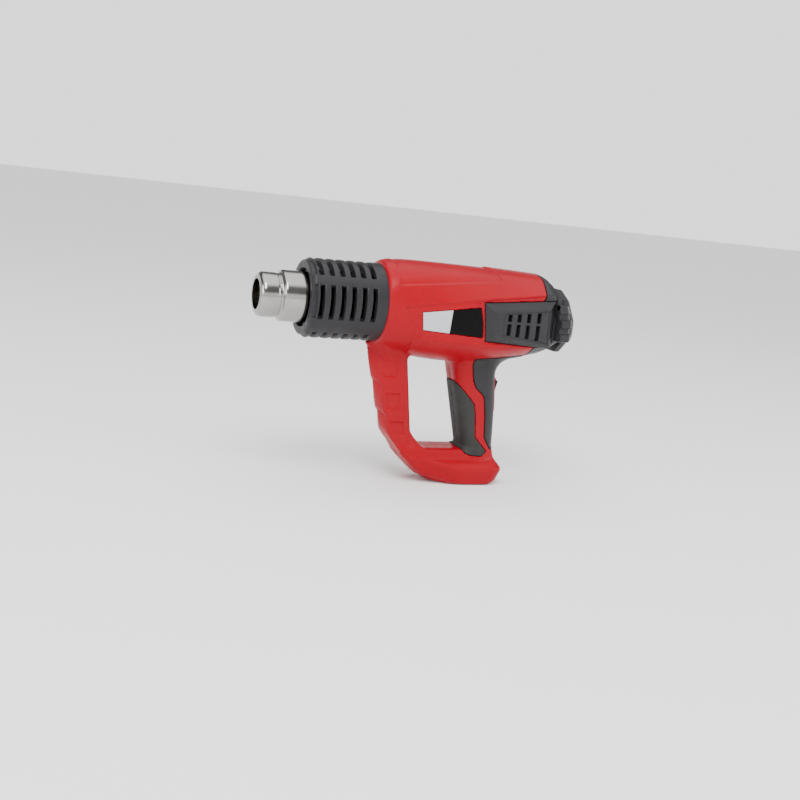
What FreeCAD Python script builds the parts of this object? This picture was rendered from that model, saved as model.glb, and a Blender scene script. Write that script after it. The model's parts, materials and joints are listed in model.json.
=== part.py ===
import FreeCAD, Part
import math
import os

import Sketcher

# Heat gun with a digital temperature control and a closed handle.
# Row frame: +X forward along the barrel, +Y to the gun's left, +Z up, millimetres.
# The origin is the middle of the model's box, on the flat base that the gun stands on.
# Pieces around the barrel are drawn about its axis, in bodies placed at AxisHeight.

DIMENSIONS = {
    # Barrel axis and the outlet tube.
    "AxisHeight": 144.5, "TipX": 131.5, "LipRadius": 11.8, "SpigotRadius": 17, "GrooveX": 114.4,
    "GrooveDepth": 0.7, "ShoulderX": 109.5, "TubeRadius": 20, "TubeRearX": 23, "TubeWall": 0.9,
    "TubeFlangeRadius": 24, "TipFillet": 4.2,
    # Heat guard.
    "GuardFrontX": 98.8, "GuardRearX": 24, "GuardShoulderX": 34.6, "RingRadius": 31,
    "SparRadius": 30.3, "GuardInnerRadius": 27.6, "GuardMouthRadius": 22.6, "FlangeThick": 3.4,
    "FirstRingX": 90.9, "RingPitch": 8.55, "SlotWidth": 3.5, "TopSlotAngle": 98,
    "SideSlotAngle": 50, "SideSlotTilt": 4, "BottomSlotAngle": 74, "SnapRadius": 29.4,
    # Heater.
    "SleeveRadius": 18.4, "SleeveThick": 0.5, "HeaterRearX": 38, "HeaterFrontX": 106,
    "FormerFrontX": 121, "FormerRadius": 12.4, "FormerThick": 1.2, "CoilWire": 0.6,
    "CoilPitch": 5.6, "InsulatorThick": 5,
    # Housing shells: one barrel section at each station.
    "Wall": 2.5, "NoseX": 33.8, "NoseSide": 33.6, "NoseFlat": 8,
    "CollarX": 27, "CollarSide": 35, "CollarFlat": 9,
    "BodyX": 8, "BodySide": 37.9, "BodyTop": 36.2, "BodyFoot": 40, "BodyFlatTop": 8, "BodyFlatFoot": 17,
    "MidX": -34, "MidSide": 38, "MidTop": 35.4, "MidBottom": 42, "MidFlatTop": 10, "MidFlatBottom": 22,
    "JointX": -103, "JointSide": 37.6, "JointTop": 34, "JointBottom": 35, "JointFlatTop": 15,
    "JointFlatBottom": 20, "CapX": -122, "CapSide": 32, "CapTop": 24.5, "CapBottom": 27.5,
    "CapFlatTop": 12, "CapFlatBottom": 14, "CapGap": 0.2,
    # Handle, drawn from the side: finger opening, front strut, grip and base.
    "OpeningTop": 102, "OpeningFloor": 29, "OpeningFrontX": 1.5, "OpeningRearTopX": -35.5,
    "OpeningRearX": -52, "StrutTopX": 38, "StrutTopZ": 108, "StrutKneeX": 21.8, "StrutKneeZ": 50.3,
    "StrutHeelX": -24.5, "StrutHalf": 12.5, "BaseRearX": -81, "LipX": -87.3, "LipHeight": 13,
    "BaseHalf": 24, "BaseThick": 17, "BridgeHalf": 17.5, "GripRearX": -80.8, "GripTopRearX": -76,
    "GripTopZ": 104, "GripHalf": 17, "PadThick": 2.8, "CoverThick": 2.8,
    # Grip pads and the rear grip cover.
    "PadTopZ": 86, "PadShoulderX": -56.5, "PadShoulderZ": 68.5, "PadHeelX": -72.5,
    "PadHeelZ": 28.5, "PadToeZ": 24.6, "CoverTopX": -50.4, "CoverTopZ": 106, "CoverStepZ": 79,
    "CoverStepX": -55.5, "CoverLowX": -66.5, "SeamGap": 0.25,
    # Power switch.
    "SwitchZ": 76, "SwitchTall": 26, "SwitchWide": 19, "SwitchDeep": 20, "SwitchWall": 0.9,
    "PivotX": -76, "PivotRadius": 1.2, "PivotPlay": 0.06, "RockerWide": 14.6, "RockerTall": 21.6,
    "BezelWide": 24, "BezelTall": 31, "BezelThick": 1.8,
    # Side vents and badges.
    "VentFrontX": -44.5, "VentRearX": -106.5, "VentTop": 12, "VentBottom": 23, "VentOut": 43,
    "VentIn": 38.3, "VentWall": 2, "VentBevel": 3, "SlotPitch": 8.7, "FirstLouvreX": -64.6,
    "LouvreWide": 3, "LouvreTop": 5, "LouvreFoot": 15.5, "LouvreRib": 1.6, "BadgeThick": 1,
    "BadgeRearX": -41.5, "BadgeFrontX": 7, "BadgeRearTop": 5.7, "BadgeRearFoot": 18.7,
    "BadgeFrontTop": -1.7, "BadgeFrontFoot": 15.8,
    # Control panel with display and keys.
    "PanelX": -131.5, "PanelDeep": 8, "PanelTop": 24, "PanelHalf": 33, "PanelShoulder": 16,
    "PanelCorner": 25, "PanelFoot": 29, "PanelFootCorner": 17, "PanelWall": 2.4,
    "WingInner": 36, "WingHalf": 43.5, "WingRibHalf": 46, "WingTop": 13, "WingFoot": 18,
    "WingRearX": -124.5, "WingDeep": 12,
    "RibTall": 6.4, "RibPitch": 11.4, "WindowZ": 10.5, "WindowWide": 47, "WindowTall": 20,
    "WindowRecess": 1.6, "GlassWide": 29, "GlassTall": 18, "GlassThick": 1, "ModuleThick": 2.4,
    "KeysZ": -13, "KeysHalfWide": 17.6, "KeysHalfTall": 9, "KeysBulge": 2.4, "KeyBar": 4.4,
    "KeyGap": 0.4, "KeyTall": 5.4, "KeySunk": 0.3, "MatThick": 1.2, "BoardThick": 1.6,
    "BoardX": -113, "BoardHalf": 22, "SinkY": 6, "SinkDeep": 20,
    # Motor, fan and duct.
    "MotorRearX": -66, "MotorFrontX": -24, "MotorRadius": 17, "CanWall": 1.2, "ShaftRadius": 1.6,
    "ShaftFrontX": 6, "ShaftRearX": -69, "BushPlay": 0.04, "BushRadius": 4, "BushLong": 4,
    "ArmatureRadius": 12.5, "ArmatureRearX": -54, "ArmatureFrontX": -34, "MagnetRadius": 15.6,
    "MagnetInner": 13.2, "CommutatorRadius": 4.2, "FanRadius": 26, "FanRearX": -20, "FanDeep": 16,
    "FanHub": 8, "BladeThick": 1.4, "BladeCount": 9, "DuctWall": 1.6, "DuctRadius": 30,
    "DuctRearX": -22, "DuctFrontX": 21,
    # Electronics, cord inlet and fasteners.
    "InletX": -62, "InletBore": 3.8, "InletRadius": 6.4, "InletTall": 13, "ClampLong": 18,
    "ClampWide": 8, "ClampThick": 3, "ScrewRadius": 1.5, "ScrewHeadRadius": 2.9, "ScrewHead": 2,
    "BossRadius": 3.7, "ScrewPlay": 0.06, "ScrewReach": 9, "WellDeep": 30, "CrossLong": 2.1,
    "CrossWide": 0.45,
}

# Where each housing screw runs, as (x, z, distance of its head's seat from the middle plane).
HOUSING_SCREWS = {
    "ScrewNose": (25, 111, 12), "ScrewTop": (-36, 172.5, 13), "ScrewRear": (-95, 171.5, 12),
    "ScrewStrut": (12, 62, 10), "ScrewToe": (-15, 19, 10), "ScrewHeel": (-78.5, 12, 18),
    "ScrewGrip": (-64, 45, 11),
}

SIDES = {"left": 1, "right": -1}
COIL_TURNS = 11
STATION_SHARES = ((0.5, 0.84), (0.83, 0.45))

doc = FreeCAD.newDocument("HeatGun")
sheet = doc.addObject("Spreadsheet::Sheet", "Dims")
parts = []


class Size:
    """A length or an angle together with the sheet formula it comes from."""

    def __init__(self, value, formula):
        self.value = float(value)
        self.formula = formula

    def joined(self, other, symbol, value):
        return Size(value, "(%s %s %s)" % (self.formula, symbol, other.formula))

    def __add__(self, other):
        other = as_size(other)
        return self.joined(other, "+", self.value + other.value)

    def __sub__(self, other):
        other = as_size(other)
        return self.joined(other, "-", self.value - other.value)

    def __mul__(self, other):
        other = as_size(other)
        return self.joined(other, "*", self.value * other.value)

    def __truediv__(self, other):
        other = as_size(other)
        return self.joined(other, "/", self.value / other.value)

    def __neg__(self):
        return self * -1


class Dimensions:
    """Gives each sheet dimension by its alias."""

    def __getattr__(self, alias):
        return Size(ALL_DIMENSIONS[alias], "Dims.%s" % alias)


def as_size(value):
    if isinstance(value, Size):
        return value
    return Size(value, "(%s)" % repr(value))


ZERO = as_size(0)
ALL_DIMENSIONS = dict(DIMENSIONS)
for screw_name, (screw_x, screw_z, screw_seat) in HOUSING_SCREWS.items():
    ALL_DIMENSIONS[screw_name + "AtX"] = screw_x
    ALL_DIMENSIONS[screw_name + "AtZ"] = screw_z
    ALL_DIMENSIONS[screw_name + "Seat"] = screw_seat
for row, (alias, number) in enumerate(ALL_DIMENSIONS.items(), 1):
    sheet.set("A%d" % row, alias)
    sheet.set("B%d" % row, str(number))
    sheet.setAlias("B%d" % row, alias)
doc.recompute()
d = Dimensions()


# Drawing helpers.

def bind(thing, prop, size):
    """Sets a property to a size and keeps it tied to the sheet."""
    size = as_size(size)
    setattr(thing, prop, size.value)
    thing.setExpression(prop, size.formula)


def new_body(label, height=ZERO):
    """A body that becomes one node, with its own frame at the given height."""
    body = doc.addObject("PartDesign::Body", "Body_" + label)
    body.Label = label
    body.Placement = FreeCAD.Placement(FreeCAD.Vector(0, 0, height.value), FreeCAD.Rotation())
    if height is not ZERO:
        body.setExpression("Placement.Base.z", height.formula)
    parts.append(body)
    return body


def sketch_on(body, plane, offset=ZERO, turn=ZERO):
    """A sketch on an origin plane, moved along its normal and turned about its first axis."""
    sketch = body.newObject("Sketcher::SketchObject", "Sketch_" + body.Label)
    for feature in body.Origin.OriginFeatures:
        if feature.Role == plane:
            sketch.AttachmentSupport = (feature, [""])
    sketch.MapMode = "FlatFace"
    rotation = FreeCAD.Rotation(FreeCAD.Vector(1, 0, 0), turn.value)
    sketch.AttachmentOffset = FreeCAD.Placement(FreeCAD.Vector(0, 0, offset.value), rotation)
    if offset is not ZERO:
        sketch.setExpression("AttachmentOffset.Base.z", offset.formula)
    return sketch


def pin_point(sketch, geometry, point, x, y):
    """Holds a sketch point at x and y, measured from the sketch's origin."""
    for kind, size, axis in (("DistanceX", as_size(x), -2), ("DistanceY", as_size(y), -1)):
        if abs(size.value) < 1e-9:
            sketch.addConstraint(Sketcher.Constraint("PointOnObject", geometry, point, axis))
        else:
            at = sketch.addConstraint(Sketcher.Constraint(kind, -1, 1, geometry, point, size.value))
            sketch.setExpression("Constraints[%d]" % at, size.formula)


def polygon(sketch, points):
    """A closed outline with every corner tied to the sheet."""
    corners = [FreeCAD.Vector(as_size(x).value, as_size(y).value, 0) for x, y in points]
    first = sketch.GeometryCount
    count = len(corners)
    for i in range(count):
        sketch.addGeometry(Part.LineSegment(corners[i], corners[(i + 1) % count]), False)
    for i in range(count):
        after = first + (i + 1) % count
        sketch.addConstraint(Sketcher.Constraint("Coincident", first + i, 2, after, 1))
    for i, (x, y) in enumerate(points):
        pin_point(sketch, first + i, 1, x, y)
    return sketch


def rectangle(sketch, low_x, low_y, high_x, high_y):
    return polygon(sketch, [(low_x, low_y), (high_x, low_y), (high_x, high_y), (low_x, high_y)])


def circle(sketch, x, y, radius):
    """A circle with its centre and radius tied to the sheet."""
    x, y, radius = as_size(x), as_size(y), as_size(radius)
    centre = FreeCAD.Vector(x.value, y.value, 0)
    at = sketch.addGeometry(Part.Circle(centre, FreeCAD.Vector(0, 0, 1), radius.value), False)
    pin_point(sketch, at, 3, x, y)
    constraint = sketch.addConstraint(Sketcher.Constraint("Radius", at, radius.value))
    sketch.setExpression("Constraints[%d]" % constraint, radius.formula)
    return sketch


def feature(body, kind, sketch):
    result = body.newObject("PartDesign::" + kind, kind + "_" + body.Label)
    result.Profile = (sketch, [""])
    result.Refine = False
    return result


def extrude(body, kind, sketch, length, back=False, both=False):
    """A Pad or Pocket; back runs it the other way, both runs it half to each side."""
    result = feature(body, kind, sketch)
    bind(result, "Length", length)
    result.Reversed = back
    if both:
        result.SideType = "Symmetric"
    return settle(result)


def turn_about_axis(body, kind, sketch, angle=None, both=False, axis="H_Axis"):
    """A Revolution or Groove about one of the sketch's own axes."""
    result = feature(body, kind, sketch)
    result.ReferenceAxis = (sketch, [axis])
    result.Angle = 360
    if angle is not None:
        bind(result, "Angle", angle)
    result.Midplane = both
    return settle(result)


def loft(body, kind, sketches):
    result = feature(body, kind, sketches[0])
    result.Sections = [(sketch, [""]) for sketch in sketches[1:]]
    result.Ruled = True
    return settle(result)


def settle(result):
    """Recomputes a feature and stops if it failed or changed nothing."""
    before = result.BaseFeature.Shape.Volume if result.BaseFeature else 0.0
    doc.recompute()
    failed = {"Invalid", "Error"} & set(result.State)
    if failed or result.Shape.isNull() or abs(result.Shape.Volume - before) < 1e-3:
        raise RuntimeError("%s changed nothing: %s" % (result.Name, result.State))
    return result


def round_edges(body, radius, choose):
    """Fillets the edges of the body's last feature that the function picks."""
    base = body.Tip
    names = ["Edge%d" % i for i, edge in enumerate(base.Shape.Edges, 1) if choose(edge)]
    result = body.newObject("PartDesign::Fillet", "Fillet_" + body.Label)
    result.Base = (base, names)
    bind(result, "Radius", radius)
    return settle(result)


def is_ring(edge, x, radius):
    """True for a whole circle about the barrel axis at this x and radius."""
    box = edge.BoundBox
    flat = abs(box.XMin - x) < 0.01 and abs(box.XMax - x) < 0.01
    return flat and abs(box.ZMax - radius) < 0.01


def revolved(label, points, height=d.AxisHeight):
    """A body turned about the X axis from an outline of (x, radius) points."""
    body = new_body(label, height)
    turn_about_axis(body, "Revolution", polygon(sketch_on(body, "XZ_Plane"), points))
    return body


def tube_outline(rear_x, front_x, inner, outer):
    return [(rear_x, inner), (front_x, inner), (front_x, outer), (rear_x, outer)]


# Outlet tube, heat guard and heater.

def make_outlet_tube():
    wall, spigot, tube = d.TubeWall, d.SpigotRadius, d.TubeRadius
    shoulder_top = d.ShoulderX + 3.2
    body = revolved("outlet_tube", [
        (d.TipX, d.LipRadius), (d.TipX, spigot), (d.GrooveX + 1.4, spigot),
        (d.GrooveX, spigot - d.GrooveDepth), (shoulder_top, spigot + 0.2), (d.ShoulderX, tube),
        (d.TubeRearX + 1, tube), (d.TubeRearX + 1, d.TubeFlangeRadius),
        (d.TubeRearX, d.TubeFlangeRadius), (d.TubeRearX, tube - wall),
        (d.ShoulderX - 0.4, tube - wall), (shoulder_top - 0.6, spigot - d.GrooveDepth - wall),
        (d.GrooveX + 1.4, spigot - d.GrooveDepth - wall), (d.GrooveX + 2.4, spigot - wall),
        (d.TipX - wall, spigot - wall), (d.TipX - wall, d.LipRadius)])
    round_edges(body, d.TipFillet, lambda edge: is_ring(edge, d.TipX.value, spigot.value))
    inner = (spigot - wall).value
    round_edges(body, d.TipFillet - wall,
                lambda edge: is_ring(edge, (d.TipX - wall).value, inner))


def ring_edges():
    """Front and rear x of each slot between the guard's rings, from the front."""
    edges = []
    for i in range(6):
        front = d.FirstRingX - d.RingPitch * i - (d.RingPitch - d.SlotWidth) / 2
        edges.append((front, front - d.SlotWidth))
    return edges


def guard_outline():
    """Comb outline of the guard: proud rings with the slot rows sunk between them."""
    chamfer = 0.9
    ring, spar = d.RingRadius, d.SparRadius
    points = [(d.GuardFrontX, d.GuardMouthRadius), (d.GuardFrontX, d.GuardMouthRadius + 2.4),
              (d.GuardFrontX - 2.2, ring - 3.4), (d.GuardFrontX - 3.6, ring - 0.6),
              (d.GuardFrontX - 5, ring)]
    for front, rear in ring_edges():
        points += [(front + chamfer, ring), (front, spar), (rear, spar), (rear - chamfer, ring)]
    points += [(d.GuardShoulderX + 1, ring), (d.GuardShoulderX, ring - 1),
               (d.GuardShoulderX, d.SnapRadius), (d.GuardRearX, d.SnapRadius),
               (d.GuardRearX, d.GuardInnerRadius - 1), (d.GuardShoulderX + 1, d.GuardInnerRadius - 1),
               (d.GuardShoulderX + 2, d.GuardInnerRadius),
               (d.GuardFrontX - d.FlangeThick - 2, d.GuardInnerRadius),
               (d.GuardFrontX - d.FlangeThick, d.GuardMouthRadius)]
    return points


def cut_guard_slots(body, plane, sign, angle, turn=ZERO):
    sketch = sketch_on(body, plane, turn=turn)
    for front, rear in ring_edges():
        near, far = (d.GuardInnerRadius - 3) * sign, (d.RingRadius + 3) * sign
        rectangle(sketch, rear, near, front, far)
    return turn_about_axis(body, "Groove", sketch, angle, both=True)


def make_heat_guard():
    body = revolved("heat_guard", guard_outline())
    cut_guard_slots(body, "XZ_Plane", 1, d.TopSlotAngle)
    cut_guard_slots(body, "XZ_Plane", -1, d.BottomSlotAngle)
    cut_guard_slots(body, "XY_Plane", 1, d.SideSlotAngle, d.SideSlotTilt)
    cut_guard_slots(body, "XY_Plane", -1, d.SideSlotAngle, -d.SideSlotTilt)


def make_heater():
    sleeve = d.SleeveRadius
    revolved("mica_sleeve", tube_outline(d.HeaterRearX, d.HeaterFrontX, sleeve - d.SleeveThick, sleeve))
    disc_rear = d.HeaterRearX - d.InsulatorThick
    body = revolved("rear_insulator", tube_outline(disc_rear, d.HeaterRearX - 0.1, ZERO, sleeve))
    holes = sketch_on(body, "YZ_Plane", disc_rear - 1)
    for i in range(8):
        spoke = math.radians(22.5 + 45 * i)
        circle(holes, (sleeve - 6) * math.cos(spoke), (sleeve - 6) * math.sin(spoke), as_size(3.2))
    extrude(body, "Pocket", holes, d.InsulatorThick + 2, back=True)
    former = new_body("mica_former", d.AxisHeight)
    half = d.FormerThick / 2
    for plane in ("XZ_Plane", "XY_Plane"):
        sketch = sketch_on(former, plane)
        rectangle(sketch, d.HeaterRearX, -d.FormerRadius, d.FormerFrontX, d.FormerRadius)
        extrude(former, "Pad", sketch, half * 2, both=True)
    make_heating_coil()
    probe = new_body("temperature_probe", d.AxisHeight)
    diagonal = as_size(15.2 * math.sqrt(0.5))
    sketch = circle(sketch_on(probe, "YZ_Plane", d.HeaterRearX + 0.2), diagonal, diagonal, as_size(1))
    extrude(probe, "Pad", sketch, as_size(68))
    cutout = new_body("thermal_cutout", d.AxisHeight)
    sketch = circle(sketch_on(cutout, "YZ_Plane", d.HeaterRearX + 1), -diagonal * 0.6, diagonal * 0.6,
                    as_size(1.5))
    extrude(cutout, "Pad", sketch, as_size(11))


def make_heating_coil():
    """Turns of flat resistance wire round the mica former, joined by the lead along them."""
    coil = new_body("heating_coil", d.AxisHeight)
    inner = d.FormerRadius + 0.15
    outer = inner + d.CoilWire * 2
    turns = sketch_on(coil, "XZ_Plane")
    for i in range(COIL_TURNS):
        rear = d.HeaterRearX + 4.4 + d.CoilPitch * i
        rectangle(turns, rear, inner, rear + d.CoilWire * 2, outer)
    turn_about_axis(coil, "Revolution", turns)
    lead = sketch_on(coil, "YZ_Plane", d.HeaterRearX + 0.3)
    rectangle(lead, inner + 0.2, -d.CoilWire, outer + 0.5, d.CoilWire)
    extrude(coil, "Pad", lead, d.CoilPitch * (COIL_TURNS - 1) + 4.7)


# Motor, fan and duct.

def make_motor():
    rear, front, radius = d.MotorRearX, d.MotorFrontX, d.MotorRadius
    bush = d.BushRadius + 0.02
    revolved("motor_can", [
        (rear, radius - d.CanWall), (rear, radius), (front, radius), (front, bush),
        (front - d.CanWall, bush), (front - d.CanWall, radius - d.CanWall)])
    revolved("motor_end_cap", [
        (rear - 1.6, bush), (rear - 1.6, radius - 2), (rear - 0.2, radius - 2),
        (rear - 0.2, radius - d.CanWall - 0.2), (rear + 2, radius - d.CanWall - 0.2), (rear + 2, bush)])
    revolved("magnet_ring", tube_outline(d.ArmatureRearX, d.ArmatureFrontX, d.MagnetInner, d.MagnetRadius))
    bore = d.ShaftRadius + d.BushPlay
    revolved("front_bush", tube_outline(front - 3, front - 3 + d.BushLong, bore, d.BushRadius))
    revolved("rear_bush", tube_outline(rear - 1.5, rear - 1.5 + d.BushLong, bore, d.BushRadius))


def make_rotor():
    revolved("motor_shaft", tube_outline(d.ShaftRearX, d.ShaftFrontX, ZERO, d.ShaftRadius))
    on_shaft = d.ShaftRadius + 0.01
    core = revolved("armature", tube_outline(d.ArmatureRearX, d.ArmatureFrontX, on_shaft, d.ArmatureRadius))
    slots = sketch_on(core, "YZ_Plane", d.ArmatureRearX - 1)
    for i in range(5):
        spoke = math.radians(90 + 72 * i)
        circle(slots, d.ArmatureRadius * math.cos(spoke), d.ArmatureRadius * math.sin(spoke), as_size(2.6))
    extrude(core, "Pocket", slots, d.ArmatureFrontX - d.ArmatureRearX + 2, back=True)
    revolved("commutator", tube_outline(d.ArmatureRearX - 6, d.ArmatureRearX - 0.5, on_shaft,
                                        d.CommutatorRadius))
    make_fan()


def make_fan():
    on_shaft = d.ShaftRadius + 0.01
    fan = revolved("fan_impeller", [
        (d.FanRearX, on_shaft), (d.FanRearX, d.FanRadius), (d.FanRearX + 1.4, d.FanRadius),
        (d.FanRearX + 1.4, d.FanHub), (d.FanRearX + d.FanDeep, d.FanHub - 2),
        (d.FanRearX + d.FanDeep, on_shaft)])
    blade = sketch_on(fan, "YZ_Plane", d.FanRearX + 0.4)
    rectangle(blade, d.FanHub - 1.5, -d.BladeThick / 2, d.FanRadius - 0.4, d.BladeThick / 2)
    pad = extrude(fan, "Pad", blade, d.FanDeep - 1)
    ring = fan.newObject("PartDesign::PolarPattern", "Blades")
    ring.Originals = [pad]
    ring.Axis = (blade, ["N_Axis"])
    ring.Angle = 360
    ring.Occurrences = int(d.BladeCount.value)
    fan.Tip = ring
    settle(ring)


def make_duct():
    """Fan duct: wide round the fan, then drawn in to the outlet tube's flange."""
    wall, wide, narrow = d.DuctWall, d.DuctRadius, d.TubeFlangeRadius
    neck = d.DuctFrontX - 8
    revolved("fan_duct", [
        (d.DuctRearX, wide - wall), (d.DuctRearX, wide), (neck - 8, wide), (neck, narrow),
        (d.DuctFrontX, narrow), (d.DuctFrontX, narrow - wall), (neck + 0.4, narrow - wall),
        (neck - 8.6, wide - wall)])


def make_motor_bracket():
    """Spider that carries the motor inside the duct's rear end."""
    front = d.DuctRearX - 0.3
    rear = front - 4
    grip = d.MotorRadius + 0.05
    body = revolved("motor_bracket", tube_outline(rear, front, grip, grip + 2))
    for plane in ("XZ_Plane", "XY_Plane"):
        for sign in (1, -1):
            sketch = sketch_on(body, plane)
            rectangle(sketch, rear, (grip + 1) * sign, front, d.DuctRadius * sign)
            extrude(body, "Pad", sketch, as_size(4), both=True)


# Housing shells.

def station(side, flat_top, flat_foot, top, foot):
    """Half of a barrel section: (y, z) corners from the top middle to the bottom middle."""
    points = [(ZERO, top)]
    points += [(side * share, flat_top + (top - flat_top) * rise) for share, rise in STATION_SHARES]
    points += [(side, flat_top), (side, -flat_foot)]
    points += [(side * share, -(flat_foot + (foot - flat_foot) * rise))
               for share, rise in reversed(STATION_SHARES)]
    points.append((ZERO, -foot))
    return points


def stations(inset):
    """Every barrel section, made smaller all round by the inset."""
    nose, collar = d.NoseSide - inset, d.CollarSide - inset
    return [
        (d.NoseX, station(nose, d.NoseFlat, d.NoseFlat, nose, nose)),
        (d.CollarX, station(collar, d.CollarFlat, d.CollarFlat, collar, collar)),
        (d.BodyX, station(d.BodySide - inset, d.BodyFlatTop, d.BodyFlatFoot, d.BodyTop - inset,
                          d.BodyFoot - inset)),
        (d.MidX, station(d.MidSide - inset, d.MidFlatTop, d.MidFlatBottom, d.MidTop - inset,
                         d.MidBottom - inset)),
        (d.JointX, station(d.JointSide - inset, d.JointFlatTop, d.JointFlatBottom,
                           d.JointTop - inset, d.JointBottom - inset))]


def barrel_sketches(body, sections, sign):
    sketches = []
    for x, points in sections:
        sketch = sketch_on(body, "YZ_Plane", x)
        polygon(sketch, [(y * sign, d.AxisHeight + z) for y, z in points])
        sketches.append(sketch)
    return sketches


def strut_outline(inset):
    """Front strut and the toe of the base, seen from the side."""
    nose = d.NoseX - 0.3 - inset
    return [(nose, d.StrutTopZ + 9 - inset), (nose, d.StrutTopZ + 4.6 - inset),
            (d.StrutTopX - 0.8 - inset, d.StrutTopZ + 4.6 - inset), (d.StrutTopX - inset, d.StrutTopZ),
            (d.StrutKneeX - inset, d.StrutKneeZ),
            (d.StrutHeelX - inset * 0.4, inset), (d.StrutHeelX - 14, inset),
            (d.OpeningRearX + 2, d.OpeningFloor - inset), (d.OpeningFrontX - 16, d.OpeningFloor - inset),
            (d.OpeningFrontX - 7 + inset, d.OpeningFloor + 9),
            (d.OpeningFrontX + inset, d.OpeningTop - 8),
            (d.OpeningFrontX - 3 + inset, d.StrutTopZ + 9 - inset)]


def base_outline(inset):
    return [(d.StrutHeelX - inset, inset), (d.BaseRearX, inset), (d.LipX + inset, d.LipHeight),
            (d.LipX + 3 + inset, d.BaseThick - inset), (d.StrutHeelX + 16, d.BaseThick - inset)]


def bridge_outline(inset):
    """Block between the base plate and the foot of the grip."""
    return [(d.StrutHeelX + 6, d.BaseThick - 6), (d.LipX + 4 + inset, d.BaseThick - 6),
            (d.GripRearX + inset, d.PadToeZ - 0.4), (d.OpeningRearX - 5.5, d.PadToeZ - 0.4),
            (d.OpeningRearX - 0.3, d.OpeningFloor - inset), (d.OpeningFrontX - 16, d.OpeningFloor - inset)]


def grip_outline(front, rear):
    """Grip between the finger opening and its back, moved in by front and rear."""
    return [(d.OpeningRearX - 1 - front, d.PadToeZ - 1.5), (d.OpeningRearX - front, d.OpeningFloor + 5),
            (d.OpeningRearTopX - 3.6 - front, d.PadTopZ), (d.OpeningRearTopX - front, d.OpeningTop + 4),
            (d.GripTopRearX + rear, d.GripTopZ + 6), (d.GripTopRearX + rear, d.GripTopZ - 14),
            (d.GripRearX + rear, d.SwitchZ - 10), (d.GripRearX - 1.3 + rear, d.PadToeZ - 1.5)]


def red_zone_outline():
    """Full-width strip of the grip that shows between the front pads and the rear cover."""
    gap = d.SeamGap
    return [(d.OpeningRearTopX, d.OpeningTop + 4), (d.OpeningRearTopX - 3.6, d.PadTopZ + gap),
            (d.PadShoulderX - gap, d.PadShoulderZ + gap), (d.PadShoulderX - 3.6 - gap, d.PadHeelZ + 12),
            (d.PadHeelX - gap, d.PadHeelZ - gap), (d.PadHeelX - 4, d.PadHeelZ + 1),
            (d.CoverLowX - 2 + gap, d.PadHeelZ + 12), (d.CoverLowX + 2 + gap, d.CoverStepZ - 6),
            (d.CoverStepX + gap, d.CoverStepZ + 3), (d.CoverTopX - 0.5 + gap, d.CoverTopZ - 7),
            (d.CoverTopX + gap, d.CoverTopZ + 2)]


def add_handle(body, back):
    """Solid handle: strut, base, bridge, slim grip core and the full-width red strip."""
    blocks = ((strut_outline(ZERO), d.StrutHalf), (base_outline(ZERO), d.BaseHalf),
              (bridge_outline(ZERO), d.BridgeHalf),
              (grip_outline(d.PadThick + d.SeamGap, d.CoverThick + d.SeamGap), d.GripHalf - d.PadThick),
              (red_zone_outline(), d.GripHalf))
    for outline, half in blocks:
        extrude(body, "Pad", polygon(sketch_on(body, "XZ_Plane"), outline), half, back=back)


def hollow_handle(body, back):
    wall = d.Wall
    core = d.GripHalf - d.PadThick - wall
    blocks = ((strut_outline(wall), d.StrutHalf - wall), (base_outline(wall), d.BaseHalf - wall),
              (bridge_outline(wall), d.BridgeHalf - wall),
              (grip_outline(d.PadThick + wall, d.CoverThick + wall), core))
    for outline, half in blocks:
        sketch = polygon(sketch_on(body, "XZ_Plane"), outline)
        extrude(body, "Pocket", sketch, half, back=not back)


def cut_side_openings(body, sign, back):
    """Window behind the vent, shallow seat for the badge and the hole for the switch."""
    outward = sketch_on(body, "XZ_Plane", (d.VentIn - 8) * -sign)
    rectangle(outward, d.VentRearX + 6, d.AxisHeight - d.LouvreFoot - 3, d.FirstLouvreX + 10,
              d.AxisHeight + d.LouvreTop + 2)
    extrude(body, "Pocket", outward, as_size(16), back=not back)
    rear = sketch_on(body, "XZ_Plane")
    rectangle(rear, d.GripRearX - 6, d.SwitchZ - d.SwitchTall / 2 - 0.3, d.GripRearX + 12,
              d.SwitchZ + d.SwitchTall / 2 + 0.3)
    extrude(body, "Pocket", rear, d.SwitchWide / 2 + 0.3, back=not back)
    inlet = sketch_on(body, "XY_Plane", as_size(-1))
    circle(inlet, d.InletX, ZERO, d.InletRadius - 1.4)
    extrude(body, "Pocket", inlet, as_size(8), back=True)


def screw_place(name):
    """The x, z and seat depth of one housing screw."""
    return getattr(d, name + "AtX"), getattr(d, name + "AtZ"), getattr(d, name + "Seat")


def add_screw_bosses(body, sign, back):
    """Posts for the housing screws, bored through on the right and blind on the left."""
    for name in HOUSING_SCREWS:
        x, z, seat = screw_place(name)
        boss = circle(sketch_on(body, "XZ_Plane"), x, z, d.BossRadius)
        extrude(body, "Pad", boss, seat + 1, back=back)
    holes = sketch_on(body, "XZ_Plane")
    wells = {}
    for name in HOUSING_SCREWS:
        x, z, seat = screw_place(name)
        circle(holes, x, z, d.ScrewRadius + d.ScrewPlay)
        wells.setdefault(seat.value, []).append((x, z, seat))
    if sign > 0:
        extrude(body, "Pocket", holes, d.ScrewReach + 1, back=not back)
        return
    extrude(body, "Pocket", holes, d.WellDeep, back=not back)
    for group in wells.values():
        sketch = sketch_on(body, "XZ_Plane", group[0][2])
        for x, z, seat in group:
            circle(sketch, x, z, d.ScrewHeadRadius + 0.3)
        extrude(body, "Pocket", sketch, d.WellDeep, back=not back)


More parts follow.
